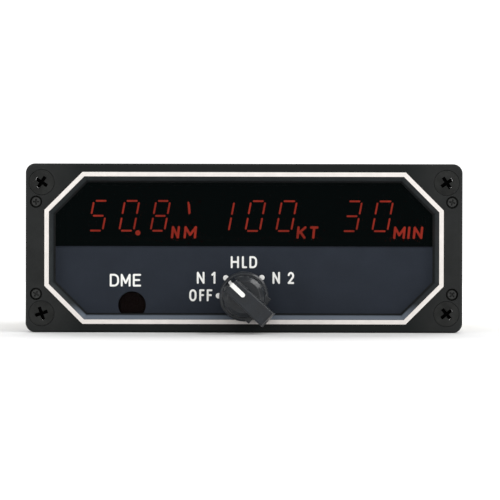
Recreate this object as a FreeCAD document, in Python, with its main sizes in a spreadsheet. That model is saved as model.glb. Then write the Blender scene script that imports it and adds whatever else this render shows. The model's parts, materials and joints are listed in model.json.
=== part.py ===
"""Panel-mounted distance indicator for a light aircraft, as a parametric FreeCAD document.

Frame: X to the pilot's right, Z up, and the front face looks along -Y. The origin is the centre of the
four mounting screws on the back of the front plate, which rests on the instrument panel. All sizes are
millimetres. "Ahead" means towards -Y. Formulas name the cells of the spreadsheet Dims.
"""

import os
import re

import FreeCAD
import Part
import Sketcher
from FreeCAD import Placement, Rotation, Vector

DIMENSIONS = {
    # bezel: a black frame with an octagonal opening, a white border line and a wall sloping to the floor
    "bezel_width": 82.95,
    "bezel_height": 32.07,
    "bezel_ahead": 6.2,
    "bezel_corner": 1.8,
    "bezel_edge": 0.45,
    "border_width": 75.76,
    "border_height": 28.82,
    "border_leg": 7.2,
    "border_line": 0.82,
    "border_rise": 0.1,
    "slope_width": 1.15,
    "slope_depth": 2.4,
    "rebate_ledge": 1.0,
    "fit_gap": 0.1,
    # front plate, gasket and the two panes behind the bezel
    "plate_thick": 1.2,
    "plate_inset": 0.15,
    "gasket_thick": 0.6,
    "gasket_line": 1.3,
    "window_ahead": 3.4,
    "pane_split": 0.3,
    "pane_chamfer": 0.25,
    # screws through the bezel
    "mount_spacing_x": 76.9,
    "mount_spacing_z": 24.9,
    "mount_hole": 1.6,
    "mount_shank": 1.42,
    "mount_neck": 1.25,
    "mount_head": 2.36,
    "mount_recess": 1.3,
    "mount_reach": 9.0,
    "bezel_screw_x": 79.0,
    "bezel_screw_z": 17.5,
    "bezel_screw_head": 1.12,
    "bezel_screw_pan": 0.9,
    "bezel_screw_sink": 1.2,
    "bezel_screw_shank": 0.6,
    "thread_gap": 0.02,
    "screw_rim": 0.08,
    "sink_gap": 0.06,
    # function switch and its knob
    "switch_z": -9.1,
    "shaft_radius": 1.5875,
    "bushing_radius": 3.0,
    "bushing_gap": 0.035,
    "nut_flats": 8.0,
    "nut_thick": 1.5,
    "nut_room": 4.75,
    "washer_thick": 0.4,
    "housing_width": 11.4,
    "housing_height": 8.6,
    "housing_depth": 6.0,
    "housing_wall": 1.2,
    "housing_bore": 3.9,
    "wafer_thick": 1.2,
    "rotor_radius": 3.2,
    "rotor_front": 1.5,
    "rotor_back": 4.1,
    "detent_step": 45,
    "ball_radius": 0.75,
    "ball_lift": 0.1,
    "stop_circle": 2.35,
    "stop_pin": 0.35,
    "turn_back": 45,
    "turn_on": 90,
    "stop_play": 1,
    "knob_back": 6.7,
    "knob_top": 17.4,
    "hub_radius": 3.0,
    "hub_back": 4.2,
    "shaft_in_knob": 10.4,
    "shaft_behind": 5.6,
    "skirt_radius": 4.68,
    "skirt_ring": 0.3,
    "skirt_thick": 3.0,
    "drum_radius": 4.15,
    "drum_top_radius": 3.85,
    "drum_height": 7.0,
    "bar_pointer_reach": 4.0,
    "bar_tail_reach": 6.55,
    "bar_pointer_width": 3.1,
    "bar_tail_width": 3.5,
    "bar_end_slope": 0.6,
    "shoulder_width": 6.2,
    "shoulder_reach": 4.1,
    "shoulder_height": 4.6,
    "pointer_angle": 47,
    "set_screw_radius": 0.9,
    "set_screw_length": 2.4,
    # light sensor and lamps
    "sensor_x": -21.34,
    "sensor_z": -10.93,
    "sensor_hole": 2.65,
    "lamp_near": 12.5,
    "lamp_far": 28.0,
    "lamp_z": -9.0,
    "lamp_radius": 1.5,
    "lamp_hole": 1.8,
    # display tube
    "glass_width": 69.0,
    "glass_bottom": 0.9,
    "glass_height": 12.2,
    "glass_thick": 1.8,
    "seal_thick": 0.5,
    "substrate_thick": 1.6,
    "lead_pitch": 2.54,
    "lead_radius": 0.22,
    "stub_x": 31.7,
    "stub_z": 10.0,
    "stub_radius": 1.2,
    # boards
    "board_thick": 1.6,
    "display_board_front": 4.4,
    "board_width": 61.0,
    "main_board_bottom": -10.2,
    "power_board_bottom": 2.4,
    "main_board_start": 11.0,
    "main_board_end": 54.0,
    "power_board_start": 12.0,
    "power_board_end": 45.5,
    "chip_long": 19.2,
    "chip_pitch": 20.4,
    "chip_thick": 3.3,
    "processor_long": 51.0,
    "processor_wide": 13.7,
    "capacitor_radius": 3.15,
    "capacitor_height": 8.8,
    "capacitor_pitch": 8.0,
    # case
    "case_width": 71.4,
    "case_height": 29.4,
    "case_length": 58.0,
    "case_front": 0.1,
    "cover_wall": 1.0,
    "rail_thick": 4.0,
    "rail_height": 27.3,
    "rail_step_y": 8.0,
    "rail_step_z": -0.3,
    "ledge_width": 2.9,
    "ledge_thick": 1.2,
    "rear_plate_thick": 1.5,
    "small_shank": 0.76,
    "small_head": 1.4,
    "cover_screw_front": 14.0,
    "cover_screw_back": 48.0,
    "cover_screw_low": -6.0,
    "cover_screw_high": 8.0,
    "rear_screw_z": 9.5,
    "rail_screw_high": -3.0,
    "rail_screw_low": -11.6,
    "board_screw_x": 29.2,
    "board_screw_front": 16.0,
    "board_screw_main": 51.5,
    "board_screw_power": 42.0,
    # rear connector with 25 sockets
    "connector_z": -1.5,
    "flange_width": 53.04,
    "flange_height": 12.5,
    "flange_thick": 0.8,
    "sleeve_width": 38.4,
    "sleeve_height": 8.0,
    "sleeve_wall": 0.4,
    "sleeve_reach": 6.2,
    "insert_width": 40.4,
    "insert_height": 10.0,
    "insert_depth": 7.6,
    "contact_pitch": 2.76,
    "contact_row": 2.84,
    "contact_hole": 0.62,
    "contact_sleeve": 0.58,
    "contact_wire": 0.35,
    "jack_spacing": 47.04,
    "jack_hole": 1.2,
    "jack_stud": 1.4,
    "jack_length": 5.0,
}

FORWARD = Rotation(Vector(1, 0, 0), 90)
BACKWARD = Rotation(Vector(1, 0, 0), -90)
UPWARD = Rotation()
RIGHTWARD = Rotation(Vector(0, 1, 0), 90)
FACES_FRONT = Rotation()
FACES_LEFT = Rotation(Vector(0, 0, 1), -90)
FACES_RIGHT = Rotation(Vector(0, 0, 1), 90)
FACES_DOWN = Rotation(Vector(1, 0, 0), 90)
FACES_UP = Rotation(Vector(1, 0, 0), -90)
FACES_BACK = Rotation(Vector(0, 0, 1), 180)

doc = FreeCAD.newDocument("DistanceIndicator")
sheet = doc.addObject("Spreadsheet::Sheet", "Dims")


# ---------------------------------------------------------------- sheet, formulas and primitives


def fill_sheet():
    """Writes each driving dimension to a named cell."""
    for row, (alias, size) in enumerate(DIMENSIONS.items(), 1):
        sheet.set(f"A{row}", alias)
        sheet.set(f"B{row}", str(size))
        sheet.setAlias(f"B{row}", alias)
    doc.recompute()


def cells(formula):
    """The formula with each dimension's name turned into its spreadsheet cell."""

    def as_cell(word):
        return ("Dims." if word[0] in DIMENSIONS else "") + word[0]

    return re.sub(r"[a-z_]+", as_cell, str(formula))


def number(formula):
    """What a formula comes to now."""
    result = sheet.evalExpression(cells(formula))
    return float(getattr(result, "Value", result))


def bind(item, **formulas):
    for name, formula in formulas.items():
        item.setExpression(name, cells(formula))


def place(item, at, rotation=UPWARD, prefix="Placement"):
    """Puts an object at a point given as three formulas."""
    setattr(item, prefix, Placement(Vector(), rotation))
    for axis, formula in zip("xyz", at):
        item.setExpression(f".{prefix}.Base.{axis}", cells(formula))


def box(name, low, size):
    """A block from its lowest corner and its sizes along X, Y and Z."""
    made = doc.addObject("Part::Box", name)
    bind(made, Length=size[0], Width=size[1], Height=size[2])
    place(made, low)
    return made


def cylinder(name, at, radius, length, rotation=BACKWARD):
    """A round bar that starts at a point and runs along the direction its rotation gives."""
    made = doc.addObject("Part::Cylinder", name)
    bind(made, Radius=radius, Height=length)
    place(made, at, rotation)
    return made


def sphere(name, at, radius):
    made = doc.addObject("Part::Sphere", name)
    bind(made, Radius=radius)
    place(made, at)
    return made


def hexagon(name, at, flats, length):
    """A hexagonal bar along +Y, sized across its flats."""
    made = doc.addObject("Part::Prism", name)
    made.Polygon = 6
    bind(made, Circumradius=f"({flats}) / sqrt(3)", Height=length)
    place(made, at, BACKWARD)
    return made


def fuse(name, *shapes):
    made = doc.addObject("Part::MultiFuse", name)
    made.Shapes = list(shapes)
    return made


def cut(name, base, *tools):
    made = doc.addObject("Part::Cut", name)
    made.Base = base
    made.Tool = tools[0] if len(tools) == 1 else fuse(name + "_tools", *tools)
    return made


def group(name, members):
    """Separate solids that share one node."""
    made = doc.addObject("Part::Compound", name)
    made.Links = list(members)
    return made


def copy_of(master, name, at, rotation=UPWARD):
    """A linked copy of a master piece, placed by three formulas."""
    made = doc.addObject("App::Link", name)
    made.LinkedObject = master
    place(made, at, rotation, "LinkPlacement")
    return made


# ---------------------------------------------------------------- bodies and sketches


def new_body(name, at=(0, 0, 0), rotation=UPWARD):
    made = doc.addObject("PartDesign::Body", name)
    place(made, at, rotation)
    return made


def new_sketch(body, plane, offset=0):
    """A sketch on one of the body's own planes. On XZ_Plane a positive offset moves it ahead."""
    made = body.newObject("Sketcher::SketchObject", body.Name + "_sketch")
    origin_plane = next(f for f in body.Origin.OriginFeatures if f.Role == plane)
    made.AttachmentSupport = [(origin_plane, "")]
    made.MapMode = "FlatFace"
    made.setExpression("AttachmentOffset.Base.z", cells(offset))
    return made


def dimension(sketch, kind, *where, formula):
    """Adds a dimensional constraint that follows a formula."""
    index = sketch.addConstraint(Sketcher.Constraint(kind, *where, number(formula)))
    sketch.setExpression(f"Constraints[{index}]", cells(formula))


def draw_outline(sketch, corners):
    """A closed outline through corners whose coordinates are formulas."""
    points = [Vector(number(u), number(v), 0) for u, v in corners]
    count = len(points)
    first = sketch.GeometryCount
    for i in range(count):
        sketch.addGeometry(Part.LineSegment(points[i], points[(i + 1) % count]))
    for i in range(count):
        following = first + (i + 1) % count
        sketch.addConstraint(Sketcher.Constraint("Coincident", first + i, 2, following, 1))
    for i, (across, up) in enumerate(corners):
        dimension(sketch, "DistanceX", -1, 1, first + i, 1, formula=across)
        dimension(sketch, "DistanceY", -1, 1, first + i, 1, formula=up)


def draw_circle(sketch, across, up, radius):
    middle = Vector(number(across), number(up), 0)
    index = sketch.addGeometry(Part.Circle(middle, Vector(0, 0, 1), number(radius)))
    dimension(sketch, "DistanceX", -1, 1, index, 3, formula=across)
    dimension(sketch, "DistanceY", -1, 1, index, 3, formula=up)
    dimension(sketch, "Radius", index, formula=radius)


def rectangle(width, height, across=0, up=0):
    """Corners of a rectangle about a centre."""
    right, top = f"({width}) / 2", f"({height}) / 2"
    signs = ((-1, -1), (1, -1), (1, 1), (-1, 1))
    return [(f"{across} + {sx} * {right}", f"{up} + {sy} * {top}") for sx, sy in signs]


def octagon(inset):
    """Corners of the bezel's octagon, moved inwards from the outer edge of its border line."""
    right = f"(border_width / 2 - ({inset}))"
    top = f"(border_height / 2 - ({inset}))"
    leg = f"(border_leg - ({inset}) * (2 - sqrt(2)))"
    corners = []
    for sx, sy, starts_on_side in ((1, -1, False), (1, 1, True), (-1, 1, False), (-1, -1, True)):
        on_side = (f"{sx} * {right}", f"{sy} * ({top} - {leg})")
        on_end = (f"{sx} * ({right} - {leg})", f"{sy} * {top}")
        corners += [on_side, on_end] if starts_on_side else [on_end, on_side]
    return corners


def pane(inset, low, high):
    """Corners of the part of the octagon between two heights, with its own chamfered corners."""
    right = f"(border_width / 2 - ({inset}))"
    top = f"(border_height / 2 - ({inset}))"
    leg = f"(border_leg - ({inset}) * (2 - sqrt(2)))"
    if low is None:
        near, far, edge = -1, 1, high
    else:
        near, far, edge = 1, -1, low
    outer = f"{near} * {top}"
    bend = f"{near} * ({top} - {leg})"
    near_side, far_side = f"{near} * {right}", f"{far} * {right}"
    near_top, far_top = f"{near} * ({right} - {leg})", f"{far} * ({right} - {leg})"
    half = [(near_side, edge), (near_side, bend), (near_top, outer)]
    return half + [(far_top, outer), (far_side, bend), (far_side, edge)]


def pad(body, sketch, length, towards_back=False):
    made = body.newObject("PartDesign::Pad", body.Name + "_pad")
    made.Profile = sketch
    made.Reversed = towards_back
    bind(made, Length=length)
    return made


def pocket(body, sketch, length=None, reverse=False, both_ways=False):
    """Cuts a sketch into the body, against its normal unless reversed. With no length it cuts through."""
    made = body.newObject("PartDesign::Pocket", body.Name + "_pocket")
    made.Profile = sketch
    made.Reversed = reverse
    made.Midplane = both_ways
    if length is None:
        made.Type = "ThroughAll"
    else:
        bind(made, Length=length)
    return made


def revolve(body, sketch):
    made = body.newObject("PartDesign::Revolution", body.Name + "_turned")
    made.Profile = sketch
    made.ReferenceAxis = (sketch, ["V_Axis"])
    made.Angle = 360
    return made


def edge_names(feature, test):
    return [f"Edge{i}" for i, edge in enumerate(feature.Shape.Edges, 1) if test(edge)]


def round_edges(body, feature, test, radius, kind="Fillet"):
    """Fillets or chamfers the edges of a feature that pass a test."""
    doc.recompute()
    made = body.newObject(f"PartDesign::{kind}", body.Name + "_edges")
    made.Base = (feature, edge_names(feature, test))
    bind(made, **{"Radius" if kind == "Fillet" else "Size": radius})
    doc.recompute()
    return made


def is_along(axis):
    """A test for straight edges along an axis."""
    direction = Vector(*axis)

    def test(edge):
        straight = isinstance(edge.Curve, Part.Line)
        return straight and abs(abs(edge.tangentAt(edge.FirstParameter).dot(direction)) - 1) < 1e-6

    return test


def lies_at(y):
    """A test for edges that lie in the plane at one Y."""
    height = number(y)

    def test(edge):
        bounds = edge.BoundBox
        return abs(bounds.YMin - height) < 1e-6 and abs(bounds.YMax - height) < 1e-6

    return test


def four_corners(spacing_x, spacing_z):
    """The four points of a rectangular pattern, as pairs of formulas."""
    return [(f"{sx} * {spacing_x} / 2", f"{sz} * {spacing_z} / 2") for sz in (1, -1) for sx in (-1, 1)]


def sink(head):
    """Radius of the countersink that a flat head of that radius lies in, a little below the surface."""
    return f"({head} + screw_rim + sink_gap)"


def drill(body, sketch, radius, sink_radius=None, bore=None):
    """Drills all the circles of a sketch through, with a countersink or a counterbore of that radius."""
    doc.recompute()
    made = body.newObject("PartDesign::Hole", body.Name + "_holes")
    made.Profile = sketch
    made.DepthType = "ThroughAll"
    made.Threaded = False
    bind(made, Diameter=f"2 * {radius}")
    if sink_radius is not None:
        made.HoleCutType = "Counterbore" if bore else "Countersink"
        made.HoleCutCustomValues = True
        bind(made, HoleCutDiameter=f"2 * {sink_radius}")
        if bore:
            bind(made, HoleCutDepth=bore)
        else:
            made.HoleCutCountersinkAngle = 90
    return made


# ---------------------------------------------------------------- screws


def screw_master(name, head, shank, length, recess, pan_height=None, neck=None):
    """A screw pointing along +Y with its head's seat rim at the origin: flat-headed, or pan-headed.

    A flat-headed one may have a thinner neck, given as its radius and how far it reaches.
    """
    made = new_body(name)
    profile = new_sketch(made, "XY_Plane")
    if pan_height is None:
        under_head = neck[0] if neck else shank
        cone_foot = f"screw_rim + {head} - {under_head}"
        corners = [(0, 0), (head, 0), (head, "screw_rim"), (under_head, cone_foot)]
        if neck:
            corners += [neck, (shank, neck[1])]
        corners += [(shank, length), (0, length)]
        top = 0
    else:
        shoulder = f"0.35 * {pan_height}"
        corners = [(0, f"-1 * {pan_height}"), (f"{head} - {shoulder}", f"-1 * {pan_height}")]
        corners += [(head, f"-1 * {pan_height} + {shoulder}"), (head, 0)]
        corners += [(shank, 0), (shank, length), (0, length)]
        top = pan_height
    draw_outline(profile, corners)
    revolve(made, profile)
    cross = new_sketch(made, "XZ_Plane", top)
    arm, half = f"({head} * 0.53)", f"({head} * 0.14)"
    quarter = [(arm, f"-1 * {half}"), (arm, half), (half, half)]
    corners = []
    for turn in range(4):
        corners += quarter
        quarter = [(f"-1 * {up}", across) for across, up in quarter]
    draw_outline(cross, corners)
    pocket(made, cross, recess)
    return made


def screw_set(name, master, stations):
    """Copies of one screw as one node. A station is a point, the way its head faces and its cross's turn."""
    copies = []
    for index, (at, facing, turn) in enumerate(stations, 1):
        spin = facing.multiply(Rotation(Vector(0, 1, 0), turn))
        copies.append(copy_of(master, f"{name}_{index}", at, spin))
    return group(name, copies)


# ---------------------------------------------------------------- front frame


def make_bezel():
    made = new_body("bezel")
    outer = new_sketch(made, "XZ_Plane", "plate_thick")
    draw_outline(outer, rectangle("bezel_width", "bezel_height"))
    block = pad(made, outer, "bezel_ahead - plate_thick")
    corners = round_edges(made, block, is_along((0, 1, 0)), "bezel_corner")
    round_edges(made, corners, lies_at("-bezel_ahead"), "bezel_edge")
    lip = new_sketch(made, "XZ_Plane", "bezel_ahead")
    draw_outline(lip, octagon(0))
    pad(made, lip, "border_rise")
    mouth = new_sketch(made, "XZ_Plane", "bezel_ahead + border_rise")
    draw_outline(mouth, octagon("border_line"))
    pocket(made, mouth, "border_rise")
    slope_top = new_sketch(made, "XZ_Plane", "bezel_ahead")
    draw_outline(slope_top, octagon("border_line"))
    slope_foot = new_sketch(made, "XZ_Plane", "bezel_ahead - slope_depth")
    draw_outline(slope_foot, octagon("border_line + slope_width"))
    slope = made.newObject("PartDesign::SubtractiveLoft", "bezel_slope")
    slope.Profile = slope_top
    slope.Sections = [slope_foot]
    slope.Ruled = True
    rebate = new_sketch(made, "XZ_Plane", "bezel_ahead - slope_depth")
    draw_outline(rebate, octagon("border_line + slope_width - rebate_ledge"))
    pocket(made, rebate, "bezel_ahead - slope_depth - plate_thick")
    mounts = new_sketch(made, "XZ_Plane", "bezel_ahead")
    for across, up in four_corners("mount_spacing_x", "mount_spacing_z"):
        draw_circle(mounts, across, up, "mount_hole")
    drill(made, mounts, "mount_hole", sink("mount_head"))
    fixings = new_sketch(made, "XZ_Plane", "bezel_ahead")
    for across, up in four_corners("bezel_screw_x", "bezel_screw_z"):
        draw_circle(fixings, across, up, "bezel_screw_shank")
    head_room = "(bezel_screw_head + fit_gap / 2)"
    drill(made, fixings, "(bezel_screw_shank + fit_gap)", head_room, bore="bezel_screw_sink")
    return made


def make_front_plate():
    made = new_body("front_plate")
    outer = new_sketch(made, "XZ_Plane")
    draw_outline(outer, rectangle("bezel_width - 2 * plate_inset", "bezel_height - 2 * plate_inset"))
    block = pad(made, outer, "plate_thick")
    round_edges(made, block, is_along((0, 1, 0)), "bezel_corner - plate_inset")
    holes = new_sketch(made, "XZ_Plane", "plate_thick")
    glass_middle = "glass_bottom + glass_height / 2"
    draw_outline(holes, rectangle("glass_width + 0.4", "glass_height + 0.6", 0, glass_middle))
    for across, up in four_corners("mount_spacing_x", "mount_spacing_z"):
        draw_circle(holes, across, up, "mount_hole")
    for across, up in four_corners("bezel_screw_x", "bezel_screw_z"):
        draw_circle(holes, across, up, "bezel_screw_shank + thread_gap")
    draw_circle(holes, 0, "switch_z", "bushing_radius + fit_gap")
    draw_circle(holes, "sensor_x", "sensor_z", "sensor_hole")
    for across in ("-lamp_far", "-lamp_near", "lamp_near", "lamp_far"):
        draw_circle(holes, across, "lamp_z", "lamp_hole")
    pocket(made, holes)
    rails = new_sketch(made, "XZ_Plane", "plate_thick")
    for side in (-1, 1):
        for up in ("rail_screw_high", "rail_screw_low"):
            draw_circle(rails, f"{side} * {RAIL_MIDDLE}", up, "small_shank")
    drill(made, rails, "(small_shank + fit_gap)", sink("small_head"))
    return made


def make_gasket():
    made = new_body("window_gasket")
    ring = new_sketch(made, "XZ_Plane", "plate_thick")
    draw_outline(ring, octagon("border_line + slope_width - rebate_ledge + 3 * fit_gap"))
    draw_outline(ring, octagon("border_line + slope_width - rebate_ledge + 3 * fit_gap + gasket_line"))
    pad(made, ring, "gasket_thick")
    switch_room = new_sketch(made, "XZ_Plane", "plate_thick + gasket_thick")
    draw_circle(switch_room, 0, "switch_z", "nut_room + fit_gap")
    pocket(made, switch_room)
    return made


def make_window():
    made = new_body("display_window")
    glass = new_sketch(made, "XZ_Plane", PANE_BACK)
    draw_outline(glass, pane(PANE_INSET, "pane_split + fit_gap", None))
    block = pad(made, glass, f"window_ahead - ({PANE_BACK})")
    round_edges(made, block, lies_at("-window_ahead"), "0.12", "Chamfer")
    return made


def make_faceplate():
    made = new_body("faceplate")
    front = "(bezel_ahead - slope_depth)"
    blank = new_sketch(made, "XZ_Plane", PANE_BACK)
    draw_outline(blank, pane(PANE_INSET, None, "pane_split"))
    block = pad(made, blank, f"{front} - ({PANE_BACK})")
    round_edges(made, block, lies_at(f"-1 * {front}"), "pane_chamfer", "Chamfer")
    holes = new_sketch(made, "XZ_Plane", front)
    draw_circle(holes, 0, "switch_z", "bushing_radius + 2 * fit_gap")
    draw_circle(holes, "sensor_x", "sensor_z", "sensor_hole")
    pocket(made, holes)
    nut_room = new_sketch(made, "XZ_Plane", PANE_BACK)
    draw_circle(nut_room, 0, "switch_z", "nut_room")
    pocket(made, nut_room, "nut_thick - fit_gap", reverse=True)
    return made


def make_front_screws():
    neck = ("mount_neck", "bezel_ahead - sink_gap / 2 + fit_gap / 2")
    length = "bezel_ahead - sink_gap / 2 + mount_reach"
    mount = screw_master("mounting_screw", "mount_head", "mount_shank", length, "mount_recess", neck=neck)
    turns = (33, 56, -19, 51)
    places = four_corners("mount_spacing_x", "mount_spacing_z")
    stations = [((x, "sink_gap / 2 - bezel_ahead", z), FACES_FRONT, t) for (x, z), t in zip(places, turns)]
    mounts = screw_set("mounting_screws", mount, stations)
    small_head, small_shank = "bezel_screw_head", "bezel_screw_shank"
    length = "bezel_ahead - bezel_screw_sink - 0.3"
    small = screw_master("bezel_screw", small_head, small_shank, length, "0.6", "bezel_screw_pan")
    places = four_corners("bezel_screw_x", "bezel_screw_z")
    seat = "bezel_screw_sink - bezel_ahead"
    stations = [((x, seat, z), FACES_FRONT, 15 * i) for i, (x, z) in enumerate(places)]
    return [mounts, screw_set("bezel_screws", small, stations)]


# ---------------------------------------------------------------- function switch


def make_knob():
    """Turned skirt and drum with a bar across them. Modelled pointing up, then turned to its detent."""
    made = new_body("function_knob", (0, 0, "switch_z"), Rotation(Vector(0, -1, 0), 45))
    made.setExpression(".Placement.Rotation.Angle", cells("pointer_angle"))
    profile = new_sketch(made, "XY_Plane")
    skirt_front = "(knob_back + skirt_thick)"
    drum_front = "(knob_back + drum_height)"
    draw_outline(
        profile,
        [
            (0, "-hub_back"),
            ("hub_radius", "-hub_back"),
            ("hub_radius", "-knob_back"),
            ("skirt_radius - skirt_ring", "-knob_back"),
            ("skirt_radius", "-knob_back - skirt_ring"),
            ("skirt_radius", f"-1 * ({skirt_front} - skirt_ring)"),
            ("skirt_radius - skirt_ring", f"-1 * {skirt_front}"),
            ("drum_radius", f"-1 * {skirt_front}"),
            ("drum_top_radius", f"-1 * ({drum_front} - 0.8)"),
            ("drum_top_radius - 0.8", f"-1 * {drum_front}"),
            (0, f"-1 * {drum_front}"),
        ],
    )
    revolve(made, profile)
    bar = new_sketch(made, "XZ_Plane", "knob_back + 1")
    tail_half, pointer_half = "bar_tail_width / 2", "bar_pointer_width / 2"
    draw_outline(
        bar,
        [
            (f"-1 * {tail_half}", "-bar_tail_reach"),
            (tail_half, "-bar_tail_reach"),
            (pointer_half, "bar_pointer_reach - 0.4"),
            (f"{pointer_half} - 0.4", "bar_pointer_reach"),
            (f"0.4 - {pointer_half}", "bar_pointer_reach"),
            (f"-1 * {pointer_half}", "bar_pointer_reach - 0.4"),
        ],
    )
    pad(made, bar, "knob_top - knob_back - 1")
    slopes = new_sketch(made, "YZ_Plane")
    for sign, reach in ((-1, "bar_tail_reach"), (1, "bar_pointer_reach")):
        top = ("-knob_top - 0.1", f"{sign} * ({reach} - bar_end_slope)")
        foot = ("-knob_back - skirt_thick", f"{sign} * {reach}")
        draw_outline(slopes, [foot, top, (top[0], f"{sign} * ({reach} + 1)")])
    grip = pocket(made, slopes, "bar_tail_width + 1", both_ways=True)
    round_edges(made, grip, lies_at("-knob_top"), "0.35")
    shoulder = new_sketch(made, "XZ_Plane", "knob_back + 0.8")
    draw_outline(shoulder, rectangle("shoulder_width", "shoulder_reach", 0, "-shoulder_reach / 2"))
    pad(made, shoulder, "shoulder_height - 0.8")
    bore = new_sketch(made, "XZ_Plane", "hub_back")
    draw_circle(bore, 0, 0, "shaft_radius + thread_gap")
    pocket(made, bore, "shaft_in_knob + 2 * fit_gap", reverse=True)
    for angle in SET_SCREW_ANGLES:
        hole = new_sketch(made, "YZ_Plane")
        hole.AttachmentOffset = Placement(Vector(), Rotation(Vector(-1, 0, 0), angle))
        draw_circle(hole, "-knob_back - skirt_thick / 2", 0, "set_screw_radius + thread_gap")
        pocket(made, hole, "skirt_radius + 1", reverse=True)
    return made


def make_set_screws():
    """Two socket set screws that grip the shaft through the skirt."""
    screws = []
    middle = (0, "-knob_back - skirt_thick / 2", "switch_z")
    for index, angle in enumerate(SET_SCREW_ANGLES, 1):
        end = ("shaft_radius", 0, 0)
        shank = cylinder(f"set_shank_{index}", end, "set_screw_radius", "set_screw_length", RIGHTWARD)
        socket = doc.addObject("Part::Prism", f"set_socket_{index}")
        socket.Polygon = 6
        bind(socket, Circumradius="0.5", Height="1.2")
        place(socket, ("shaft_radius + set_screw_length - 1.1", 0, 0), RIGHTWARD)
        screw = cut(f"set_screw_{index}", shank, socket)
        turn = Rotation(Vector(0, -1, 0), number("pointer_angle") + angle)
        screws.append(copy_of(screw, f"set_screw_copy_{index}", middle, turn))
    return group("knob_set_screws", screws)


def on_switch(angle, radius):
    """A point around the shaft, by its angle above +X as seen from the front, as X and Z formulas."""
    return f"{radius} * cos({angle})", f"switch_z + {radius} * sin({angle})"


def make_switch_moving():
    shaft_tip = (0, "-hub_back - shaft_in_knob", "switch_z")
    shaft_length = "hub_back + shaft_in_knob + shaft_behind"
    shaft = cylinder("switch_shaft", shaft_tip, "shaft_radius", shaft_length)
    thick = "rotor_back - rotor_front"
    disc = cylinder("rotor_disc", (0, "rotor_front", "switch_z"), "rotor_radius", thick)
    tools = [cylinder("rotor_bore", (0, "rotor_front - 1", "switch_z"), "shaft_radius", "rotor_back")]
    for notch in range(8):
        x, z = on_switch(f"detent_step * {notch}", "(rotor_radius + 0.4)")
        foot = (x, "rotor_front - 1", z)
        tools.append(cylinder(f"rotor_notch_{notch}", foot, "ball_radius", "rotor_back"))
    reach = f"turn_back + turn_on + 2 * {STOP_HALF}"
    start = f"turn_on - 90 + {STOP_HALF}"
    track = cylinder("stop_track", (0, 0, 0), "stop_circle + stop_pin + 0.1", "1.1 + 1")
    bind(track, Angle=reach)
    core = cylinder("stop_core", (0, 0, 0), "stop_circle - stop_pin - 0.1", "1.1 + 1")
    slot = cut("stop_slot", track, core)
    slot.Placement = Placement(Vector(), Rotation(Vector(0, -1, 0), number(start)))
    for axis, formula in zip("xyz", (0, "rotor_front - 1", "switch_z")):
        slot.setExpression(f".Placement.Base.{axis}", cells(formula))
    rotor = cut("switch_rotor", disc, slot, *tools)
    ring = cylinder("wiper_ring", (0, "rotor_back", "switch_z"), "2.2", "0.3")
    hole = cylinder("wiper_hole", (0, "rotor_back - 1", "switch_z"), "shaft_radius", "3")
    arm = box("wiper_arm", (-3.1, "rotor_back", "switch_z - 0.5"), (1.6, 0.3, 1))
    dimple_height = "housing_depth - rotor_back - 0.1"
    dimple = cylinder("wiper_dimple", (-2.7, "rotor_back", "switch_z"), "0.35", dimple_height)
    wiper = cut("switch_wiper", fuse("wiper_plate", ring, arm, dimple), hole)
    return [shaft, rotor, wiper]


def make_switch_fixed():
    left, low = "-housing_width / 2", "switch_z - housing_height / 2"
    block = box("housing_block", (left, 0, low), ("housing_width", "housing_depth", "housing_height"))
    cavity = cylinder("housing_cavity", (0, "housing_wall", "switch_z"), "housing_bore", "housing_depth")
    seat = cylinder("housing_seat", (0, -1, "switch_z"), 3.65, 1.6)
    eye = cylinder("housing_eye", (0, -1, "switch_z"), "shaft_radius + 0.15", 4)
    channel = box("detent_channel", (3, 1.9, "switch_z - 0.85"), (2.2, 1.8, 1.7))
    pin_x, pin_z = on_switch(-90, "stop_circle")
    pin = cylinder("stop_pin_bar", (pin_x, 0.9, pin_z), "stop_pin", 1.4)
    housing = fuse("switch_housing", cut("housing_shell", block, cavity, seat, eye, channel), pin)
    sleeve = cylinder("bushing_sleeve", (0, -3.4, "switch_z"), "bushing_radius", 3.4)
    collar = cylinder("bushing_collar", (0, 0, "switch_z"), 3.6, 0.6)
    bore = cylinder("bushing_bore", (0, -5, "switch_z"), "shaft_radius + bushing_gap", 8)
    bushing = cut("switch_bushing", fuse("bushing_blank", sleeve, collar), bore)
    washer_front = (0, "-plate_thick - washer_thick", "switch_z")
    washer = cut(
        "switch_lock_washer",
        cylinder("washer_disc", washer_front, "nut_flats / 2", "washer_thick"),
        cylinder("washer_eye", (0, "-plate_thick - 1", "switch_z"), "bushing_radius + fit_gap", 2),
    )
    nut_front = (0, "-plate_thick - washer_thick - nut_thick", "switch_z")
    nut = cut(
        "switch_nut",
        hexagon("nut_bar", nut_front, "nut_flats", "nut_thick"),
        cylinder("nut_eye", (0, "-plate_thick - 3", "switch_z"), "bushing_radius + thread_gap", 4),
    )
    ball = sphere("detent_ball", ("rotor_radius + ball_lift + ball_radius", 2.8, "switch_z"), "ball_radius")
    spring_x = "rotor_radius + ball_lift + 2 * ball_radius + 0.01"
    spring = box("detent_spring", (spring_x, 2.1, "switch_z - 0.8"), (0.25, 1.4, 1.6))
    pins = []
    for index in range(5):
        x, z = on_switch(f"180 - detent_step * {index}", 2.7)
        pins.append(cylinder(f"terminal_{index}", (x, "housing_depth", z), 0.35, 4.4))
    terminals = group("switch_terminals", pins)
    wafer_size = ("housing_width", "wafer_thick", "housing_height")
    wafer_block = box("wafer_block", (left, "housing_depth", low), wafer_size)
    wafer = cut("switch_wafer", wafer_block, terminals)
    return [housing, bushing, washer, nut, ball, spring, terminals, wafer]


# ---------------------------------------------------------------- light sensor, lamps and display


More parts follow.
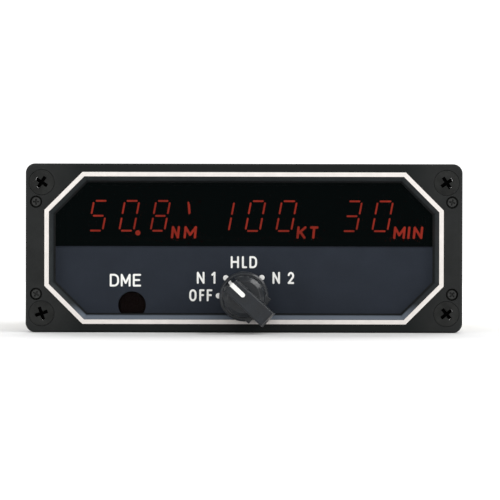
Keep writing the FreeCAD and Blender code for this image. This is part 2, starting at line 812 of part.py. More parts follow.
def make_sensor_and_lamps():
    disc = cylinder("sensor_filter", ("sensor_x", -3.0, "sensor_z"), "sensor_hole - 0.05", 1.0)
    flat_height = f"6 - 0.02 - ({PANE_TOP}) - sensor_z"
    under_lip = box("sensor_filter_flat", (-30, -5, "sensor_z - 6"), (15, 5, flat_height))
    sensor_filter = cut("photocell_filter", disc, under_lip)
    body = cylinder("sensor_can", ("sensor_x", "-plate_thick", "sensor_z"), "sensor_hole - 0.15", 2.0)
    leads = [
        cylinder(f"sensor_lead_{side}", (f"sensor_x + {side} * 1.27", 0.8, "sensor_z + 0.8"), 0.22, 6.0)
        for side in (-1, 1)
    ]
    photocell = group("photocell", [body, *leads])
    lamps = []
    for index, across in enumerate(("-lamp_far", "-lamp_near", "lamp_near", "lamp_far")):
        glass = cylinder(f"lamp_glass_{index}", (across, 0.4, "lamp_z"), "lamp_radius", 2.6)
        tip = sphere(f"lamp_tip_{index}", (across, 0.4, "lamp_z"), "lamp_radius")
        base = cylinder(f"lamp_base_{index}", (across, 2.9, "lamp_z"), 1.6, "display_board_front - 2.9")
        lamps.append(fuse(f"lamp_{index}", glass, tip, base))
    return [sensor_filter, photocell, group("panel_lamps", lamps)]


def make_display():
    left = "-glass_width / 2"
    front = "-plate_thick"
    seal_front = "(glass_thick - plate_thick)"
    rear_front = "(glass_thick - plate_thick + seal_thick)"
    rear_back = f"({rear_front} + substrate_thick)"
    glass_size = ("glass_width", "glass_thick", "glass_height")
    glass = box("display_front_glass", (left, front, "glass_bottom"), glass_size)
    seal = new_body("display_seal")
    frame = new_sketch(seal, "XZ_Plane", f"-1 * {rear_front}")
    middle = "glass_bottom + glass_height / 2"
    draw_outline(frame, rectangle("glass_width - 0.6", "glass_height - 0.6", 0, middle))
    draw_outline(frame, rectangle("glass_width - 3", "glass_height - 2.4", 0, middle))
    pad(seal, frame, "seal_thick")
    substrate = box(
        "display_substrate",
        (left, rear_front, "glass_bottom - 0.3"),
        ("glass_width", "substrate_thick", "glass_height + 0.6"),
    )
    stub = cylinder("display_exhaust_stub", ("stub_x", rear_back, "stub_z"), "stub_radius", 4.6)
    leads = [
        cylinder(f"display_lead_{i}", (f"lead_pitch * ({i} - 12.5)", rear_back, 1.6), "lead_radius", 4.2)
        for i in range(26)
    ]
    lead_group = group("display_leads", leads)
    strip = box("display_pad_strip", (-28, rear_back, 4), (52, f"display_board_front - {rear_back}", 7))
    strip.Label = "display_pad"
    return [glass, seal, substrate, stub, lead_group, strip]


def make_display_board(lead_group, photocell):
    made = new_body("display_board_blank")
    outline = new_sketch(made, "XZ_Plane", "-display_board_front - board_thick")
    side, step, slot = "(glass_width / 2 - 0.2)", "(board_width / 2 - 0.2)", "(housing_width / 2 + 0.5)"
    right = [(side, 13.2), (side, 0.2), (step, 0.2), (step, -13.2), (slot, -13.2), (slot, -4)]
    left = [(f"-1 * {x}", z) for x, z in reversed(right)]
    draw_outline(outline, right + left)
    draw_circle(outline, "stub_x", "stub_z", "stub_radius + 0.4")
    pad(made, outline, "board_thick")
    pins = make_front_header_pins()
    board = cut("display_board", made, lead_group, photocell, pins)
    return [board, pins]


def make_driver_chips():
    front = "display_board_front + board_thick + 0.4"
    size = ("chip_long", "chip_thick", 6.4)
    chips = []
    for i in (-1, 0, 1):
        chips.append(box(f"driver_{i}", (f"chip_pitch * {i} - chip_long / 2", front, 5.4), size))
    return group("driver_chips", chips)


def make_front_header_pins():
    """Pins that carry the display board's signals back to the main board."""
    pins = []
    for side in (-1, 1):
        for i in range(8):
            x = f"{side} * (9.5 + lead_pitch * {i})"
            pins.append(
                cylinder(
                    f"front_pin_{side + 1}_{i}",
                    (x, "display_board_front - 0.4", "main_board_bottom + board_thick + 1.8"),
                    0.3,
                    "main_board_start + 2 - display_board_front + 0.4",
                )
            )
    return group("front_header_pins", pins)


# ---------------------------------------------------------------- boards and their components


def make_boards(contacts, stack_pins):
    boards = []
    for name, bottom, start, end, pins in (
        ("main_board", "main_board_bottom", "main_board_start", "main_board_end", [contacts, stack_pins]),
        ("power_board", "power_board_bottom", "power_board_start", "power_board_end", [stack_pins]),
    ):
        size = ("board_width", f"{end} - {start}", "board_thick")
        slab = box(name + "_slab", ("-board_width / 2", start, bottom), size)
        rear = "board_screw_main" if name == "main_board" else "board_screw_power"
        holes = []
        for sx in (-1, 1):
            for y in ("board_screw_front", rear):
                at = (f"{sx} * board_screw_x", y, f"{bottom} - 1")
                holes.append(cylinder(f"{name}_hole_{sx + 1}_{y}", at, 1.0, 4, UPWARD))
        boards.append(cut(name, slab, *holes, *pins))
    return boards


def make_components(front_pins):
    main_top = "(main_board_bottom + board_thick)"
    power_top = "(power_board_bottom + board_thick)"
    processor_at = ("-processor_long / 2", 21, f"{main_top} + 0.5")
    processor = box("processor_chip", processor_at, ("processor_long", "processor_wide", 3.8))
    logic = []
    for i in (-1, 0, 1):
        at = (f"chip_pitch * {i} - chip_long / 2", 38, f"{main_top} + 0.5")
        logic.append(box(f"logic_{i}", at, ("chip_long", 6.4, "chip_thick")))
    legs = []
    for i in range(20):
        x = f"lead_pitch * ({i} - 9.5) - 0.25"
        for row, y in enumerate((20.4, 35.0)):
            legs.append(box(f"leg_p{row}_{i}", (x, y, main_top), (0.5, 0.3, 2.6)))
    for chip in (-1, 0, 1):
        for i in range(7):
            for row, y in enumerate((37.4, 44.7)):
                x = f"chip_pitch * {chip} + lead_pitch * ({i} - 3) - 0.25"
                legs.append(box(f"leg_l{chip + 1}{row}_{i}", (x, y, main_top), (0.5, 0.3, 2.2)))
    stack_block = box("stack_header", (-16, 16.6, main_top), (32, 2.6, f"power_board_bottom - {main_top}"))
    blocks = [
        box(f"front_header_{side + 1}", (f"{side} * 18.4 - 11.2", 11.3, main_top), (22.4, 2.5, 2.6))
        for side in (-1, 1)
    ]
    headers = cut("front_headers", group("front_header_blocks", blocks), front_pins)
    core_block = box("core_block", (-27, 22, f"{power_top} + 0.6"), (16, 15, 8))
    windows = [box(f"core_window_{x}", (x, 24.5, power_top), (3.5, 10, 10)) for x in (-25, -16.5)]
    core = cut("transformer_core", core_block, *windows)
    wound = box("winding_block", (-24.8, 24.7, f"{power_top} + 0.1"), (11.6, 9.6, 9.1))
    inside = box("winding_core", (-21.55, 22, f"{power_top} + 0.55"), (5.1, 15, 8.1))
    winding = cut("transformer_winding", wound, inside)
    cans = []
    for i, (column, y) in enumerate(((0, 22), (1, 22), (2, 22), (3, 22), (0, 33), (1, 33))):
        at = (f"capacitor_pitch * {column} + 2", y, power_top)
        cans.append(cylinder(f"capacitor_{i}", at, "capacitor_radius", "capacitor_height", UPWARD))
    return [
        processor,
        group("logic_chips", logic),
        group("chip_legs", legs),
        stack_block,
        headers,
        core,
        winding,
        group("electrolytic_capacitors", cans),
    ]


def make_stack_pins():
    """Pins of the tall header that joins the two boards, as they come out of its ends."""
    pins = []
    for i in range(12):
        for end, foot in (("low", "main_board_bottom - 1"), ("high", "power_board_bottom")):
            at = (f"lead_pitch * ({i} - 5.5)", 17.9, foot)
            pins.append(cylinder(f"stack_{end}_{i}", at, 0.3, "board_thick + 1", UPWARD))
    return group("stack_header_pins", pins)


# ---------------------------------------------------------------- case


def make_rails():
    right = new_body("right_rail")
    side = new_sketch(right, "YZ_Plane", "case_width / 2 - cover_wall - rail_thick")
    half, end = "rail_height / 2", f"({REAR_PLATE_FRONT})"
    lower = [(0, f"-1 * {half}"), (end, f"-1 * {half}"), (end, half)]
    upper = [("rail_step_y", half), ("rail_step_y", "rail_step_z"), (0, "rail_step_z")]
    draw_outline(side, lower + upper)
    pad(right, side, "rail_thick")
    for bottom in ("main_board_bottom", "power_board_bottom"):
        ledge = new_sketch(right, "YZ_Plane", "case_width / 2 - cover_wall - rail_thick")
        centre = f"{bottom} - ledge_thick / 2"
        draw_outline(ledge, rectangle(f"{end} - 10", "ledge_thick", f"(10 + {end}) / 2", centre))
        pad(right, ledge, "ledge_width", towards_back=True)
    lightening = new_sketch(right, "YZ_Plane", "case_width / 2 - cover_wall")
    draw_outline(lightening, rectangle(18, 8, 31, -4))
    pocket(right, lightening)
    sides = new_sketch(right, "YZ_Plane", "case_width / 2 - cover_wall")
    for y in ("cover_screw_front", "cover_screw_back"):
        for z in ("cover_screw_low", "cover_screw_high"):
            draw_circle(sides, y, z, THREAD)
    pocket(right, sides, "rail_thick - 0.2")
    front = new_sketch(right, "XZ_Plane", 0)
    for z in ("rail_screw_high", "rail_screw_low"):
        draw_circle(front, RAIL_MIDDLE, z, THREAD)
    pocket(right, front, 6)
    back = new_sketch(right, "XZ_Plane", f"-1 * {end}")
    for sign in (-1, 1):
        draw_circle(back, RAIL_MIDDLE, f"{sign} * rear_screw_z", THREAD)
    pocket(right, back, 6, reverse=True)
    base = new_sketch(right, "XY_Plane", f"-1 * {half}")
    for y in ("cover_screw_front + 6", "cover_screw_back - 6"):
        draw_circle(base, RAIL_MIDDLE, y, THREAD)
    pocket(right, base, 5, reverse=True)
    ledges = new_sketch(right, "XY_Plane", "power_board_bottom")
    for y in ("board_screw_front", "board_screw_power"):
        draw_circle(ledges, "board_screw_x", y, 0.82)
    pocket(right, ledges, "ledge_thick + 0.1")
    low_ledges = new_sketch(right, "XY_Plane", "main_board_bottom")
    for y in ("board_screw_front", "board_screw_main"):
        draw_circle(low_ledges, "board_screw_x", y, 0.82)
    pocket(right, low_ledges, "ledge_thick + 0.1")
    left = doc.addObject("Part::Mirroring", "left_rail")
    left.Source = right
    left.Normal = Vector(1, 0, 0)
    return [right, left]


def make_covers():
    top = new_body("top_cover")
    section = new_sketch(top, "XZ_Plane", "-case_front - case_length")
    outer, inner = "case_width / 2", "(case_width / 2 - cover_wall)"
    high, roof, foot = "case_height / 2", "(case_height / 2 - cover_wall)", "-case_height / 2 + cover_wall"
    right = [(inner, roof), (inner, foot), (outer, foot), (outer, high)]
    left = [(f"-1 * {x}", z) for x, z in reversed(right)]
    draw_outline(section, right + left)
    shell = pad(top, section, "case_length")
    along = is_along((0, 1, 0))
    roof_level = number(high)
    round_edges(top, shell, lambda edge: along(edge) and edge.BoundBox.ZMin > roof_level - 0.01, "1")
    for side, plane_offset in ((1, "case_width / 2"), (-1, "-case_width / 2")):
        holes = new_sketch(top, "YZ_Plane", plane_offset)
        for y in ("cover_screw_front", "cover_screw_back"):
            for z in ("cover_screw_low", "cover_screw_high"):
                draw_circle(holes, y, z, "small_shank")
        holes_made = drill(top, holes, "(small_shank + fit_gap)", sink("small_head"))
        holes_made.DepthType = "Dimension"
        holes_made.Depth = 2.5
        holes_made.Reversed = side < 0
    bottom = new_body("bottom_cover")
    sheet_metal = new_sketch(bottom, "XY_Plane", "-case_height / 2")
    draw_outline(sheet_metal, rectangle("case_width", "case_length", 0, "case_front + case_length / 2"))
    pad(bottom, sheet_metal, "cover_wall")
    holes = new_sketch(bottom, "XY_Plane", "-case_height / 2")
    for side in (-1, 1):
        for y in ("cover_screw_front + 6", "cover_screw_back - 6"):
            draw_circle(holes, f"{side} * {RAIL_MIDDLE}", y, "small_shank")
    holes_made = drill(bottom, holes, "(small_shank + fit_gap)", sink("small_head"))
    holes_made.Reversed = True
    return [top, bottom]


def make_rear_plate():
    made = new_body("rear_plate")
    outline = new_sketch(made, "XZ_Plane", f"-1 * ({REAR_PLATE_FRONT}) - rear_plate_thick")
    inside_width = "case_width - 2 * cover_wall - 2 * fit_gap"
    inside_height = "case_height - 2 * cover_wall - 2 * fit_gap"
    draw_outline(outline, rectangle(inside_width, inside_height))
    draw_outline(outline, rectangle("insert_width + 0.4", "insert_height + 0.4", 0, "connector_z"))
    for side in (-1, 1):
        draw_circle(outline, f"{side} * jack_spacing / 2", "connector_z", "jack_stud + 2 * fit_gap")
    pad(made, outline, "rear_plate_thick")
    holes = new_sketch(made, "XZ_Plane", f"-1 * ({REAR_PLATE_FRONT}) - rear_plate_thick")
    for sx in (-1, 1):
        for sz in (-1, 1):
            draw_circle(holes, f"{sx} * {RAIL_MIDDLE}", f"{sz} * rear_screw_z", "small_shank")
    drilled = drill(made, holes, "(small_shank + fit_gap)", sink("small_head"))
    drilled.Reversed = True
    return made


def make_case_screws():
    flat = screw_master("small_flat_screw", "small_head", "small_shank", "3.3", "0.7")
    long_flat = screw_master("long_flat_screw", "small_head", "small_shank", "5.6", "0.7")
    pan = screw_master("board_screw", "1.4", "0.8", "2.7", "0.7", "1.1")
    sides = []
    for sx, facing in ((-1, FACES_LEFT), (1, FACES_RIGHT)):
        for y in ("cover_screw_front", "cover_screw_back"):
            for z in ("cover_screw_low", "cover_screw_high"):
                at = (f"{sx} * (case_width / 2 - sink_gap / 2)", y, z)
                sides.append((at, facing, 17 * len(sides)))
    for sx in (-1, 1):
        for y in ("cover_screw_front + 6", "cover_screw_back - 6"):
            at = (f"{sx} * {RAIL_MIDDLE}", y, "sink_gap / 2 - case_height / 2")
            sides.append((at, FACES_DOWN, 17 * len(sides)))
    rear, front, boards = [], [], []
    rear_face = f"{REAR_PLATE_FRONT} + rear_plate_thick - sink_gap / 2"
    board_ends = (("main_board_bottom", "board_screw_main"), ("power_board_bottom", "board_screw_power"))
    for sx in (-1, 1):
        across = f"{sx} * {RAIL_MIDDLE}"
        for sz in (-1, 1):
            rear.append(((across, rear_face, f"{sz} * rear_screw_z"), FACES_BACK, 25 * len(rear)))
        for z in ("rail_screw_high", "rail_screw_low"):
            front.append(((across, "sink_gap / 2 - plate_thick", z), FACES_FRONT, 25 * len(front)))
        for bottom, last in board_ends:
            for y in ("board_screw_front", last):
                at = (f"{sx} * board_screw_x", y, f"{bottom} + board_thick")
                boards.append((at, FACES_UP, 25 * len(boards)))
    return [
        screw_set("cover_screws", flat, sides),
        screw_set("rear_plate_screws", long_flat, rear),
        screw_set("rail_screws", long_flat, front),
        screw_set("board_screws", pan, boards),
    ]


def make_data_plate():
    made = new_body("data_plate")
    outline = new_sketch(made, "XY_Plane", "case_height / 2")
    draw_outline(outline, rectangle(44, 20, 0, 32))
    block = pad(made, outline, "0.25")
    round_edges(made, block, is_along((0, 0, 1)), "1")
    return made


# ---------------------------------------------------------------- rear connector


def d_shape(width, height):
    """Corners of a D-shaped outline, wider at its top, about the connector's centre."""
    narrow = f"({width} / 2 - {height} * tan(10))"
    top, foot = f"connector_z + {height} / 2", f"connector_z - {height} / 2"
    return [(f"-1 * {width} / 2", top), (f"{width} / 2", top), (narrow, foot), (f"-1 * {narrow}", foot)]


def contact_places():
    """The 25 contacts: 13 in the upper row and 12 in the lower, as X and Z formulas and a row number."""
    for i in range(13):
        yield f"contact_pitch * ({i} - 6)", "connector_z + contact_row / 2", 0
    for i in range(12):
        yield f"contact_pitch * ({i} - 5.5)", "connector_z - contact_row / 2", 1


def make_connector():
    rear = f"({REAR_PLATE_FRONT} + rear_plate_thick)"
    shell = new_body("connector_shell")
    flange = new_sketch(shell, "XZ_Plane", f"-1 * {rear} - flange_thick")
    draw_outline(flange, rectangle("flange_width", "flange_height", 0, "connector_z"))
    plate = pad(shell, flange, "flange_thick")
    round_edges(shell, plate, is_along((0, 1, 0)), 2)
    sleeve = new_sketch(shell, "XZ_Plane", f"-1 * {rear} - sleeve_reach")
    draw_outline(sleeve, d_shape("sleeve_width", "sleeve_height"))
    tube = pad(shell, sleeve, "sleeve_reach - flange_thick")
    flange_back = number(f"{rear} + flange_thick")
    along = is_along((0, 1, 0))

    def is_on_sleeve(edge):
        return along(edge) and edge.BoundBox.YMax > flange_back + 1

    round_edges(shell, tube, is_on_sleeve, "1.6")
    room = new_sketch(shell, "XZ_Plane", f"-1 * {rear} - sleeve_reach")
    draw_outline(room, d_shape("(sleeve_width - 2 * sleeve_wall)", "(sleeve_height - 2 * sleeve_wall)"))
    pocket(shell, room, reverse=True)
    posts = new_sketch(shell, "XZ_Plane", f"-1 * {rear} - flange_thick")
    for side in (-1, 1):
        draw_circle(posts, f"{side} * jack_spacing / 2", "connector_z", "jack_stud + fit_gap")
    pocket(shell, posts, reverse=True)
    insert = new_body("connector_insulator")
    block = new_sketch(insert, "XZ_Plane", f"-1 * {rear}")
    draw_outline(block, rectangle("insert_width", "insert_height", 0, "connector_z"))
    pad(insert, block, "insert_depth")
    nose = new_sketch(insert, "XZ_Plane", f"-1 * {rear} - sleeve_reach + 0.2")
    nose_wall = "2 * (sleeve_wall + 0.05)"
    draw_outline(nose, d_shape(f"(sleeve_width - {nose_wall})", f"(sleeve_height - {nose_wall})"))
    pad(insert, nose, "sleeve_reach - 0.2")
    holes = new_sketch(insert, "XZ_Plane", f"-1 * {rear} - sleeve_reach + 0.2")
    for x, z, _ in contact_places():
        draw_circle(holes, x, z, "contact_hole")
    pocket(insert, holes, reverse=True)
    return [shell, insert]


def make_contacts():
    """Socket contacts: a sleeve in the insulator, and a wire that turns down into the main board."""
    rear = f"({REAR_PLATE_FRONT} + rear_plate_thick)"
    front = f"({rear} - insert_depth)"
    masters = []
    for row, setback in ((0, 3.6), (1, 1.1)):
        drop = f"connector_z - contact_row * ({row} - 0.5) - main_board_bottom + 1"
        bend = f"{front} - {setback}"
        sleeve_length = "insert_depth + sleeve_reach - 1"
        sleeve = cylinder(f"contact_sleeve_{row}", (0, front, 0), "contact_sleeve", sleeve_length)
        mouth = cylinder(f"contact_mouth_{row}", (0, f"{front} + insert_depth", 0), 0.42, "sleeve_reach")
        wire = cylinder(f"contact_wire_{row}", (0, bend, 0), "contact_wire", f"{setback} + 1")
        knee = sphere(f"contact_knee_{row}", (0, bend, 0), "contact_wire")
        tail_foot = (0, bend, f"-1 * ({drop})")
        tail = cylinder(f"contact_tail_{row}", tail_foot, "contact_wire", drop, UPWARD)
        socket = cut(f"contact_socket_{row}", sleeve, mouth)
        masters.append(fuse(f"contact_{row}", socket, wire, knee, tail))
    copies = [
        copy_of(masters[row], f"contact_copy_{index}", (x, 0, z))
        for index, (x, z, row) in enumerate(contact_places())
    ]
    return group("connector_contacts", copies)


def make_jack_posts():
    rear = f"({REAR_PLATE_FRONT} + rear_plate_thick)"
    flange_back = f"{rear} + flange_thick"
    posts, nuts = [], []
    for side in (-1, 1):
        tag = side + 1
        x = f"{side} * jack_spacing / 2"
        hexagonal = hexagon(f"post_hex_{tag}", (x, flange_back, "connector_z"), 4.75, "jack_length")
        stud_front = (x, f"{rear} - 4", "connector_z")
        stud = cylinder(f"post_stud_{tag}", stud_front, "jack_stud", "flange_thick + 4.5")
        hole = cylinder(f"post_hole_{tag}", (x, f"{flange_back} + 1", "connector_z"), "jack_hole", "jack_length")
        posts.append(cut(f"post_{tag}", fuse(f"post_solid_{tag}", hexagonal, stud), hole))
        nut = hexagon(f"post_nut_bar_{tag}", (x, f"{REAR_PLATE_FRONT} - 2", "connector_z"), 5.5, 2)
        eye_front = (x, f"{REAR_PLATE_FRONT} - 4", "connector_z")
        eye = cylinder(f"post_nut_eye_{tag}", eye_front, "jack_stud + thread_gap", 6)
        nuts.append(cut(f"post_nut_{tag}", nut, eye))
    return [group("jack_posts", posts), group("jack_post_nuts", nuts)]


# ---------------------------------------------------------------- shared formulas

REAR_PLATE_FRONT = "case_front + case_length - rear_plate_thick"
RAIL_MIDDLE = "(case_width / 2 - cover_wall - rail_thick / 2)"
THREAD = "small_shank + thread_gap"
PANE_BACK = "plate_thick + gasket_thick"
PANE_INSET = "border_line + slope_width - rebate_ledge + fit_gap"
PANE_TOP = f"border_height / 2 - ({PANE_INSET})"
SET_SCREW_ANGLES = (-45, -135)
STOP_HALF = "(asin(stop_pin / stop_circle) / 1 deg + stop_play)"


def make_all():
    """Every sub-part of the indicator, as objects whose labels name their files."""
    moving = make_switch_moving()
    sensor = make_sensor_and_lamps()
    display = make_display()
    board, front_pins = make_display_board(display[4], sensor[1])
    contacts = make_contacts()
    stack_pins = make_stack_pins()
    made = [make_bezel(), make_front_plate(), make_gasket(), make_window(), make_faceplate()]
    made += make_front_screws()
    made += [make_knob(), make_set_screws(), *moving, *make_switch_fixed()]
    made += [*sensor, *display, board, front_pins, make_driver_chips()]
    made += make_boards(contacts, stack_pins)
    made += [*make_components(front_pins), stack_pins]
    made += [*make_rails(), *make_covers(), make_rear_plate(), *make_case_screws(), make_data_plate()]
    made += [*make_connector(), contacts, *make_jack_posts()]
    return made


def check_and_write(subparts):
    """Stops on any failed object, then writes one STEP file per sub-part."""
    doc.recompute()
    for item in doc.Objects:
        if "Invalid" in item.State or "Error" in item.State:
            raise RuntimeError(f"{item.Name} failed: {item.State}")
    for item in subparts:
        if item.Shape.isNull() or not item.Shape.isValid() or not item.Shape.Solids:
            raise RuntimeError(f"{item.Label} has no valid solid")
    os.makedirs("parts", exist_ok=True)
    for item in subparts:
        item.Shape.exportStep(f"parts/{item.Label}.step")
        print(f"{item.Label}: {len(item.Shape.Solids)} solid(s), {item.Shape.Volume:.1f} mm3")
    print(f"{len(subparts)} sub-parts")


fill_sheet()
check_and_write(make_all())
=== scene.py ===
import json
import math

import bmesh
import bpy
from mathutils import Matrix, Vector


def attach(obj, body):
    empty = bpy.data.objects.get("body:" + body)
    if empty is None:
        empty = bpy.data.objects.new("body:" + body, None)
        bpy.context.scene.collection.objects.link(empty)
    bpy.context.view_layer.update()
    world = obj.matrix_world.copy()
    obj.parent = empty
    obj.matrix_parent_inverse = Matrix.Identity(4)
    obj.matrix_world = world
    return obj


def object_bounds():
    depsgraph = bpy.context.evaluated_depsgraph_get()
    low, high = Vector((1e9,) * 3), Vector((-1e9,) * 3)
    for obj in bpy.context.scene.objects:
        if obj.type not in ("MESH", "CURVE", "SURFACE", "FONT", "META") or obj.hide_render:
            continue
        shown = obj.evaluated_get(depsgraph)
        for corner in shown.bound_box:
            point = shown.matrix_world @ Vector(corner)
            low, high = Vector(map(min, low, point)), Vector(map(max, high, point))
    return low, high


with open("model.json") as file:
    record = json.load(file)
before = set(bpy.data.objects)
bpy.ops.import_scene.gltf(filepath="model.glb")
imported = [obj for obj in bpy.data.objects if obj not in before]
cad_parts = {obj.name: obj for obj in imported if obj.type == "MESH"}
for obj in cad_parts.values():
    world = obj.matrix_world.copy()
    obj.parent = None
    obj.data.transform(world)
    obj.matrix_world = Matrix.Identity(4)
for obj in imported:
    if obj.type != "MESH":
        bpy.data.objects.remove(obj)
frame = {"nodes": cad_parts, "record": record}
cad_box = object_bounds()
MM = 0.001


# ---------------------------------------------------------------- materials


def new_material(name):
    made = bpy.data.materials.new(name)
    made.use_nodes = True
    nodes = made.node_tree.nodes
    return made, nodes, made.node_tree.links, nodes["Principled BSDF"]


def object_coordinates(nodes, links, stretch=(1, 1, 1)):
    """Object coordinates, stretched along the axes: a small factor draws a pattern out along that axis."""
    source = nodes.new("ShaderNodeTexCoord")
    mapping = nodes.new("ShaderNodeMapping")
    mapping.inputs["Scale"].default_value = stretch
    links.new(source.outputs["Object"], mapping.inputs["Vector"])
    return mapping.outputs["Vector"]


def noise(nodes, links, vector, size, detail=3.0, rough=0.55):
    """Noise whose features are about size millimetres across."""
    made = nodes.new("ShaderNodeTexNoise")
    made.inputs["Scale"].default_value = 1 / (size * MM)
    made.inputs["Detail"].default_value = detail
    made.inputs["Roughness"].default_value = rough
    links.new(vector, made.inputs["Vector"])
    return made.outputs["Fac"]


def ramp(nodes, links, factor, low, high, start=0.3, end=0.7):
    made = nodes.new("ShaderNodeValToRGB")
    made.color_ramp.elements[0].position = start
    made.color_ramp.elements[1].position = end
    made.color_ramp.elements[0].color = (*low, 1)
    made.color_ramp.elements[1].color = (*high, 1)
    links.new(factor, made.inputs["Fac"])
    return made.outputs["Color"]


def spread(nodes, links, factor, low, high, start=0.3, end=0.7):
    made = nodes.new("ShaderNodeMapRange")
    for name, number in (("From Min", start), ("From Max", end), ("To Min", low), ("To Max", high)):
        made.inputs[name].default_value = number
    links.new(factor, made.inputs["Value"])
    return made.outputs["Result"]


def bump(nodes, links, shader, height, depth):
    """Bumps of depth millimetres; a second call stacks on the first."""
    made = nodes.new("ShaderNodeBump")
    made.inputs["Strength"].default_value = 1.0
    made.inputs["Distance"].default_value = depth * MM
    links.new(height, made.inputs["Height"])
    if shader.inputs["Normal"].is_linked:
        links.new(shader.inputs["Normal"].links[0].from_socket, made.inputs["Normal"])
    links.new(made.outputs["Normal"], shader.inputs["Normal"])


def tinted(color, factor):
    return tuple(min(1.0, part * factor) for part in color)


def surface(name, color, rough, metal=0.0, gloss=0.5, vary=0.25, patch=3.0, grain=0.15, depth=0.01,
            stretch=(1, 1, 1), second=None, spare=0.12, coat=0.0):
    """The common finish: patchy colour, uneven roughness and a fine grain.

    patch and grain are feature sizes and depth is the grain's height, all in millimetres; second is the
    colour that the patches drift towards, and spare is how far the roughness drifts.
    """
    made, nodes, links, shader = new_material(name)
    vector = object_coordinates(nodes, links, stretch)
    patches = noise(nodes, links, vector, patch)
    low = tinted(color, 1 - vary)
    high = second or tinted(color, 1 + vary)
    links.new(ramp(nodes, links, patches, low, high), shader.inputs["Base Color"])
    fine = noise(nodes, links, vector, grain, 4.0, 0.6)
    uneven = spread(nodes, links, fine, max(0.03, rough - spare), min(1.0, rough + spare))
    links.new(uneven, shader.inputs["Roughness"])
    if depth:
        bump(nodes, links, shader, fine, depth)
    shader.inputs["Metallic"].default_value = metal
    shader.inputs["Specular IOR Level"].default_value = gloss
    shader.inputs["Coat Weight"].default_value = coat
    shader.inputs["Coat Roughness"].default_value = 0.15
    return made


def glass(name, color, alpha, rough, gloss=0.5):
    """Clear or tinted glass with faint smears, seen through by its alpha."""
    made, nodes, links, shader = new_material(name)
    vector = object_coordinates(nodes, links)
    smear = noise(nodes, links, vector, 9.0, 5.0, 0.65)
    smeared = ramp(nodes, links, smear, tinted(color, 0.85), tinted(color, 1.15))
    links.new(smeared, shader.inputs["Base Color"])
    links.new(spread(nodes, links, smear, rough, rough + 0.1), shader.inputs["Roughness"])
    shader.inputs["Alpha"].default_value = alpha
    shader.inputs["Specular IOR Level"].default_value = gloss
    return made


def dark_filter(name, alpha, drift, painted_sheen=(0, 0, 0)):
    """A dark filter with slightly denser patches, seen through by its alpha; painted_sheen is its faint even
    painted reflection, given as emission.
    """
    made, nodes, links, shader = new_material(name)
    vector = object_coordinates(nodes, links)
    density = noise(nodes, links, vector, 7.0, 4.0, 0.6)
    links.new(spread(nodes, links, density, alpha - drift, alpha + drift), shader.inputs["Alpha"])
    links.new(spread(nodes, links, density, 0.1, 0.2), shader.inputs["Roughness"])
    shader.inputs["Base Color"].default_value = (0, 0, 0, 1)
    shader.inputs["Specular IOR Level"].default_value = 0.0
    shader.inputs["Emission Color"].default_value = (*painted_sheen, 1)
    shader.inputs["Emission Strength"].default_value = 1.0
    return made


def glow(name, color, strength):
    """A lit segment, a little uneven in brightness, as a gas discharge is."""
    made, nodes, links, shader = new_material(name)
    vector = object_coordinates(nodes, links)
    flicker = noise(nodes, links, vector, 0.8, 2.0)
    links.new(ramp(nodes, links, flicker, tinted(color, 0.8), color), shader.inputs["Base Color"])
    light = ramp(nodes, links, flicker, tinted(color, 0.82), tinted(color, 1.1))
    links.new(light, shader.inputs["Emission Color"])
    shader.inputs["Emission Strength"].default_value = strength
    shader.inputs["Roughness"].default_value = 0.6
    shader.inputs["Specular IOR Level"].default_value = 0.1
    return made


def laminate(name):
    """Solder-masked circuit board: angular tracks show through the green as raised, lighter lines."""
    made, nodes, links, shader = new_material(name)
    vector = object_coordinates(nodes, links)
    cells = nodes.new("ShaderNodeTexVoronoi")
    cells.distance = "MANHATTAN"
    cells.feature = "F1"
    cells.inputs["Scale"].default_value = 1 / (3.2 * MM)
    cells.inputs["Randomness"].default_value = 0.85
    links.new(vector, cells.inputs["Vector"])
    bands = nodes.new("ShaderNodeMath")
    bands.operation = "PINGPONG"
    bands.inputs[1].default_value = 0.12
    links.new(cells.outputs["Distance"], bands.inputs[0])
    tracks = ramp(nodes, links, bands.outputs[0], (0.012, 0.10, 0.035), (0.03, 0.20, 0.07), 0.04, 0.07)
    links.new(tracks, shader.inputs["Base Color"])
    bump(nodes, links, shader, bands.outputs[0], 0.25)
    weave = noise(nodes, links, vector, 0.4)
    links.new(spread(nodes, links, weave, 0.25, 0.45), shader.inputs["Roughness"])
    return made


def threaded(name, color, rough, pitch):
    """Screw steel with thread rings along Y; a flat face across Y keeps one height, so a head stays plain."""
    made = surface(name, color, rough, metal=1.0, grain=0.08, depth=0.004)
    nodes, links = made.node_tree.nodes, made.node_tree.links
    shader = nodes["Principled BSDF"]
    rings = nodes.new("ShaderNodeTexWave")
    rings.bands_direction = "Y"
    rings.wave_profile = "TRI"
    rings.inputs["Scale"].default_value = math.pi / (10 * pitch * MM)
    links.new(object_coordinates(nodes, links), rings.inputs["Vector"])
    bump(nodes, links, shader, rings.outputs["Fac"], pitch * 0.4)
    return made


def axis_of(nodes, links, axis):
    """One object coordinate, in metres."""
    parts = nodes.new("ShaderNodeSeparateXYZ")
    links.new(object_coordinates(nodes, links), parts.inputs[0])
    return parts.outputs[axis]


def combine(nodes, links, operation, first, second=None):
    """One arithmetic step on one or two values."""
    made = nodes.new("ShaderNodeMath")
    made.operation = operation
    links.new(first, made.inputs[0])
    if second is not None:
        links.new(second, made.inputs[1])
    return made.outputs[0]


def blend_base(made, factor, color):
    """Mixes a finish's base colour towards another by a factor."""
    nodes, links = made.node_tree.nodes, made.node_tree.links
    shader = nodes["Principled BSDF"]
    blend = nodes.new("ShaderNodeMix")
    blend.data_type = "RGBA"
    blend.inputs[7].default_value = (*color, 1)
    links.new(factor, blend.inputs[0])
    links.new(shader.inputs["Base Color"].links[0].from_socket, blend.inputs[6])
    links.new(blend.outputs[2], shader.inputs["Base Color"])


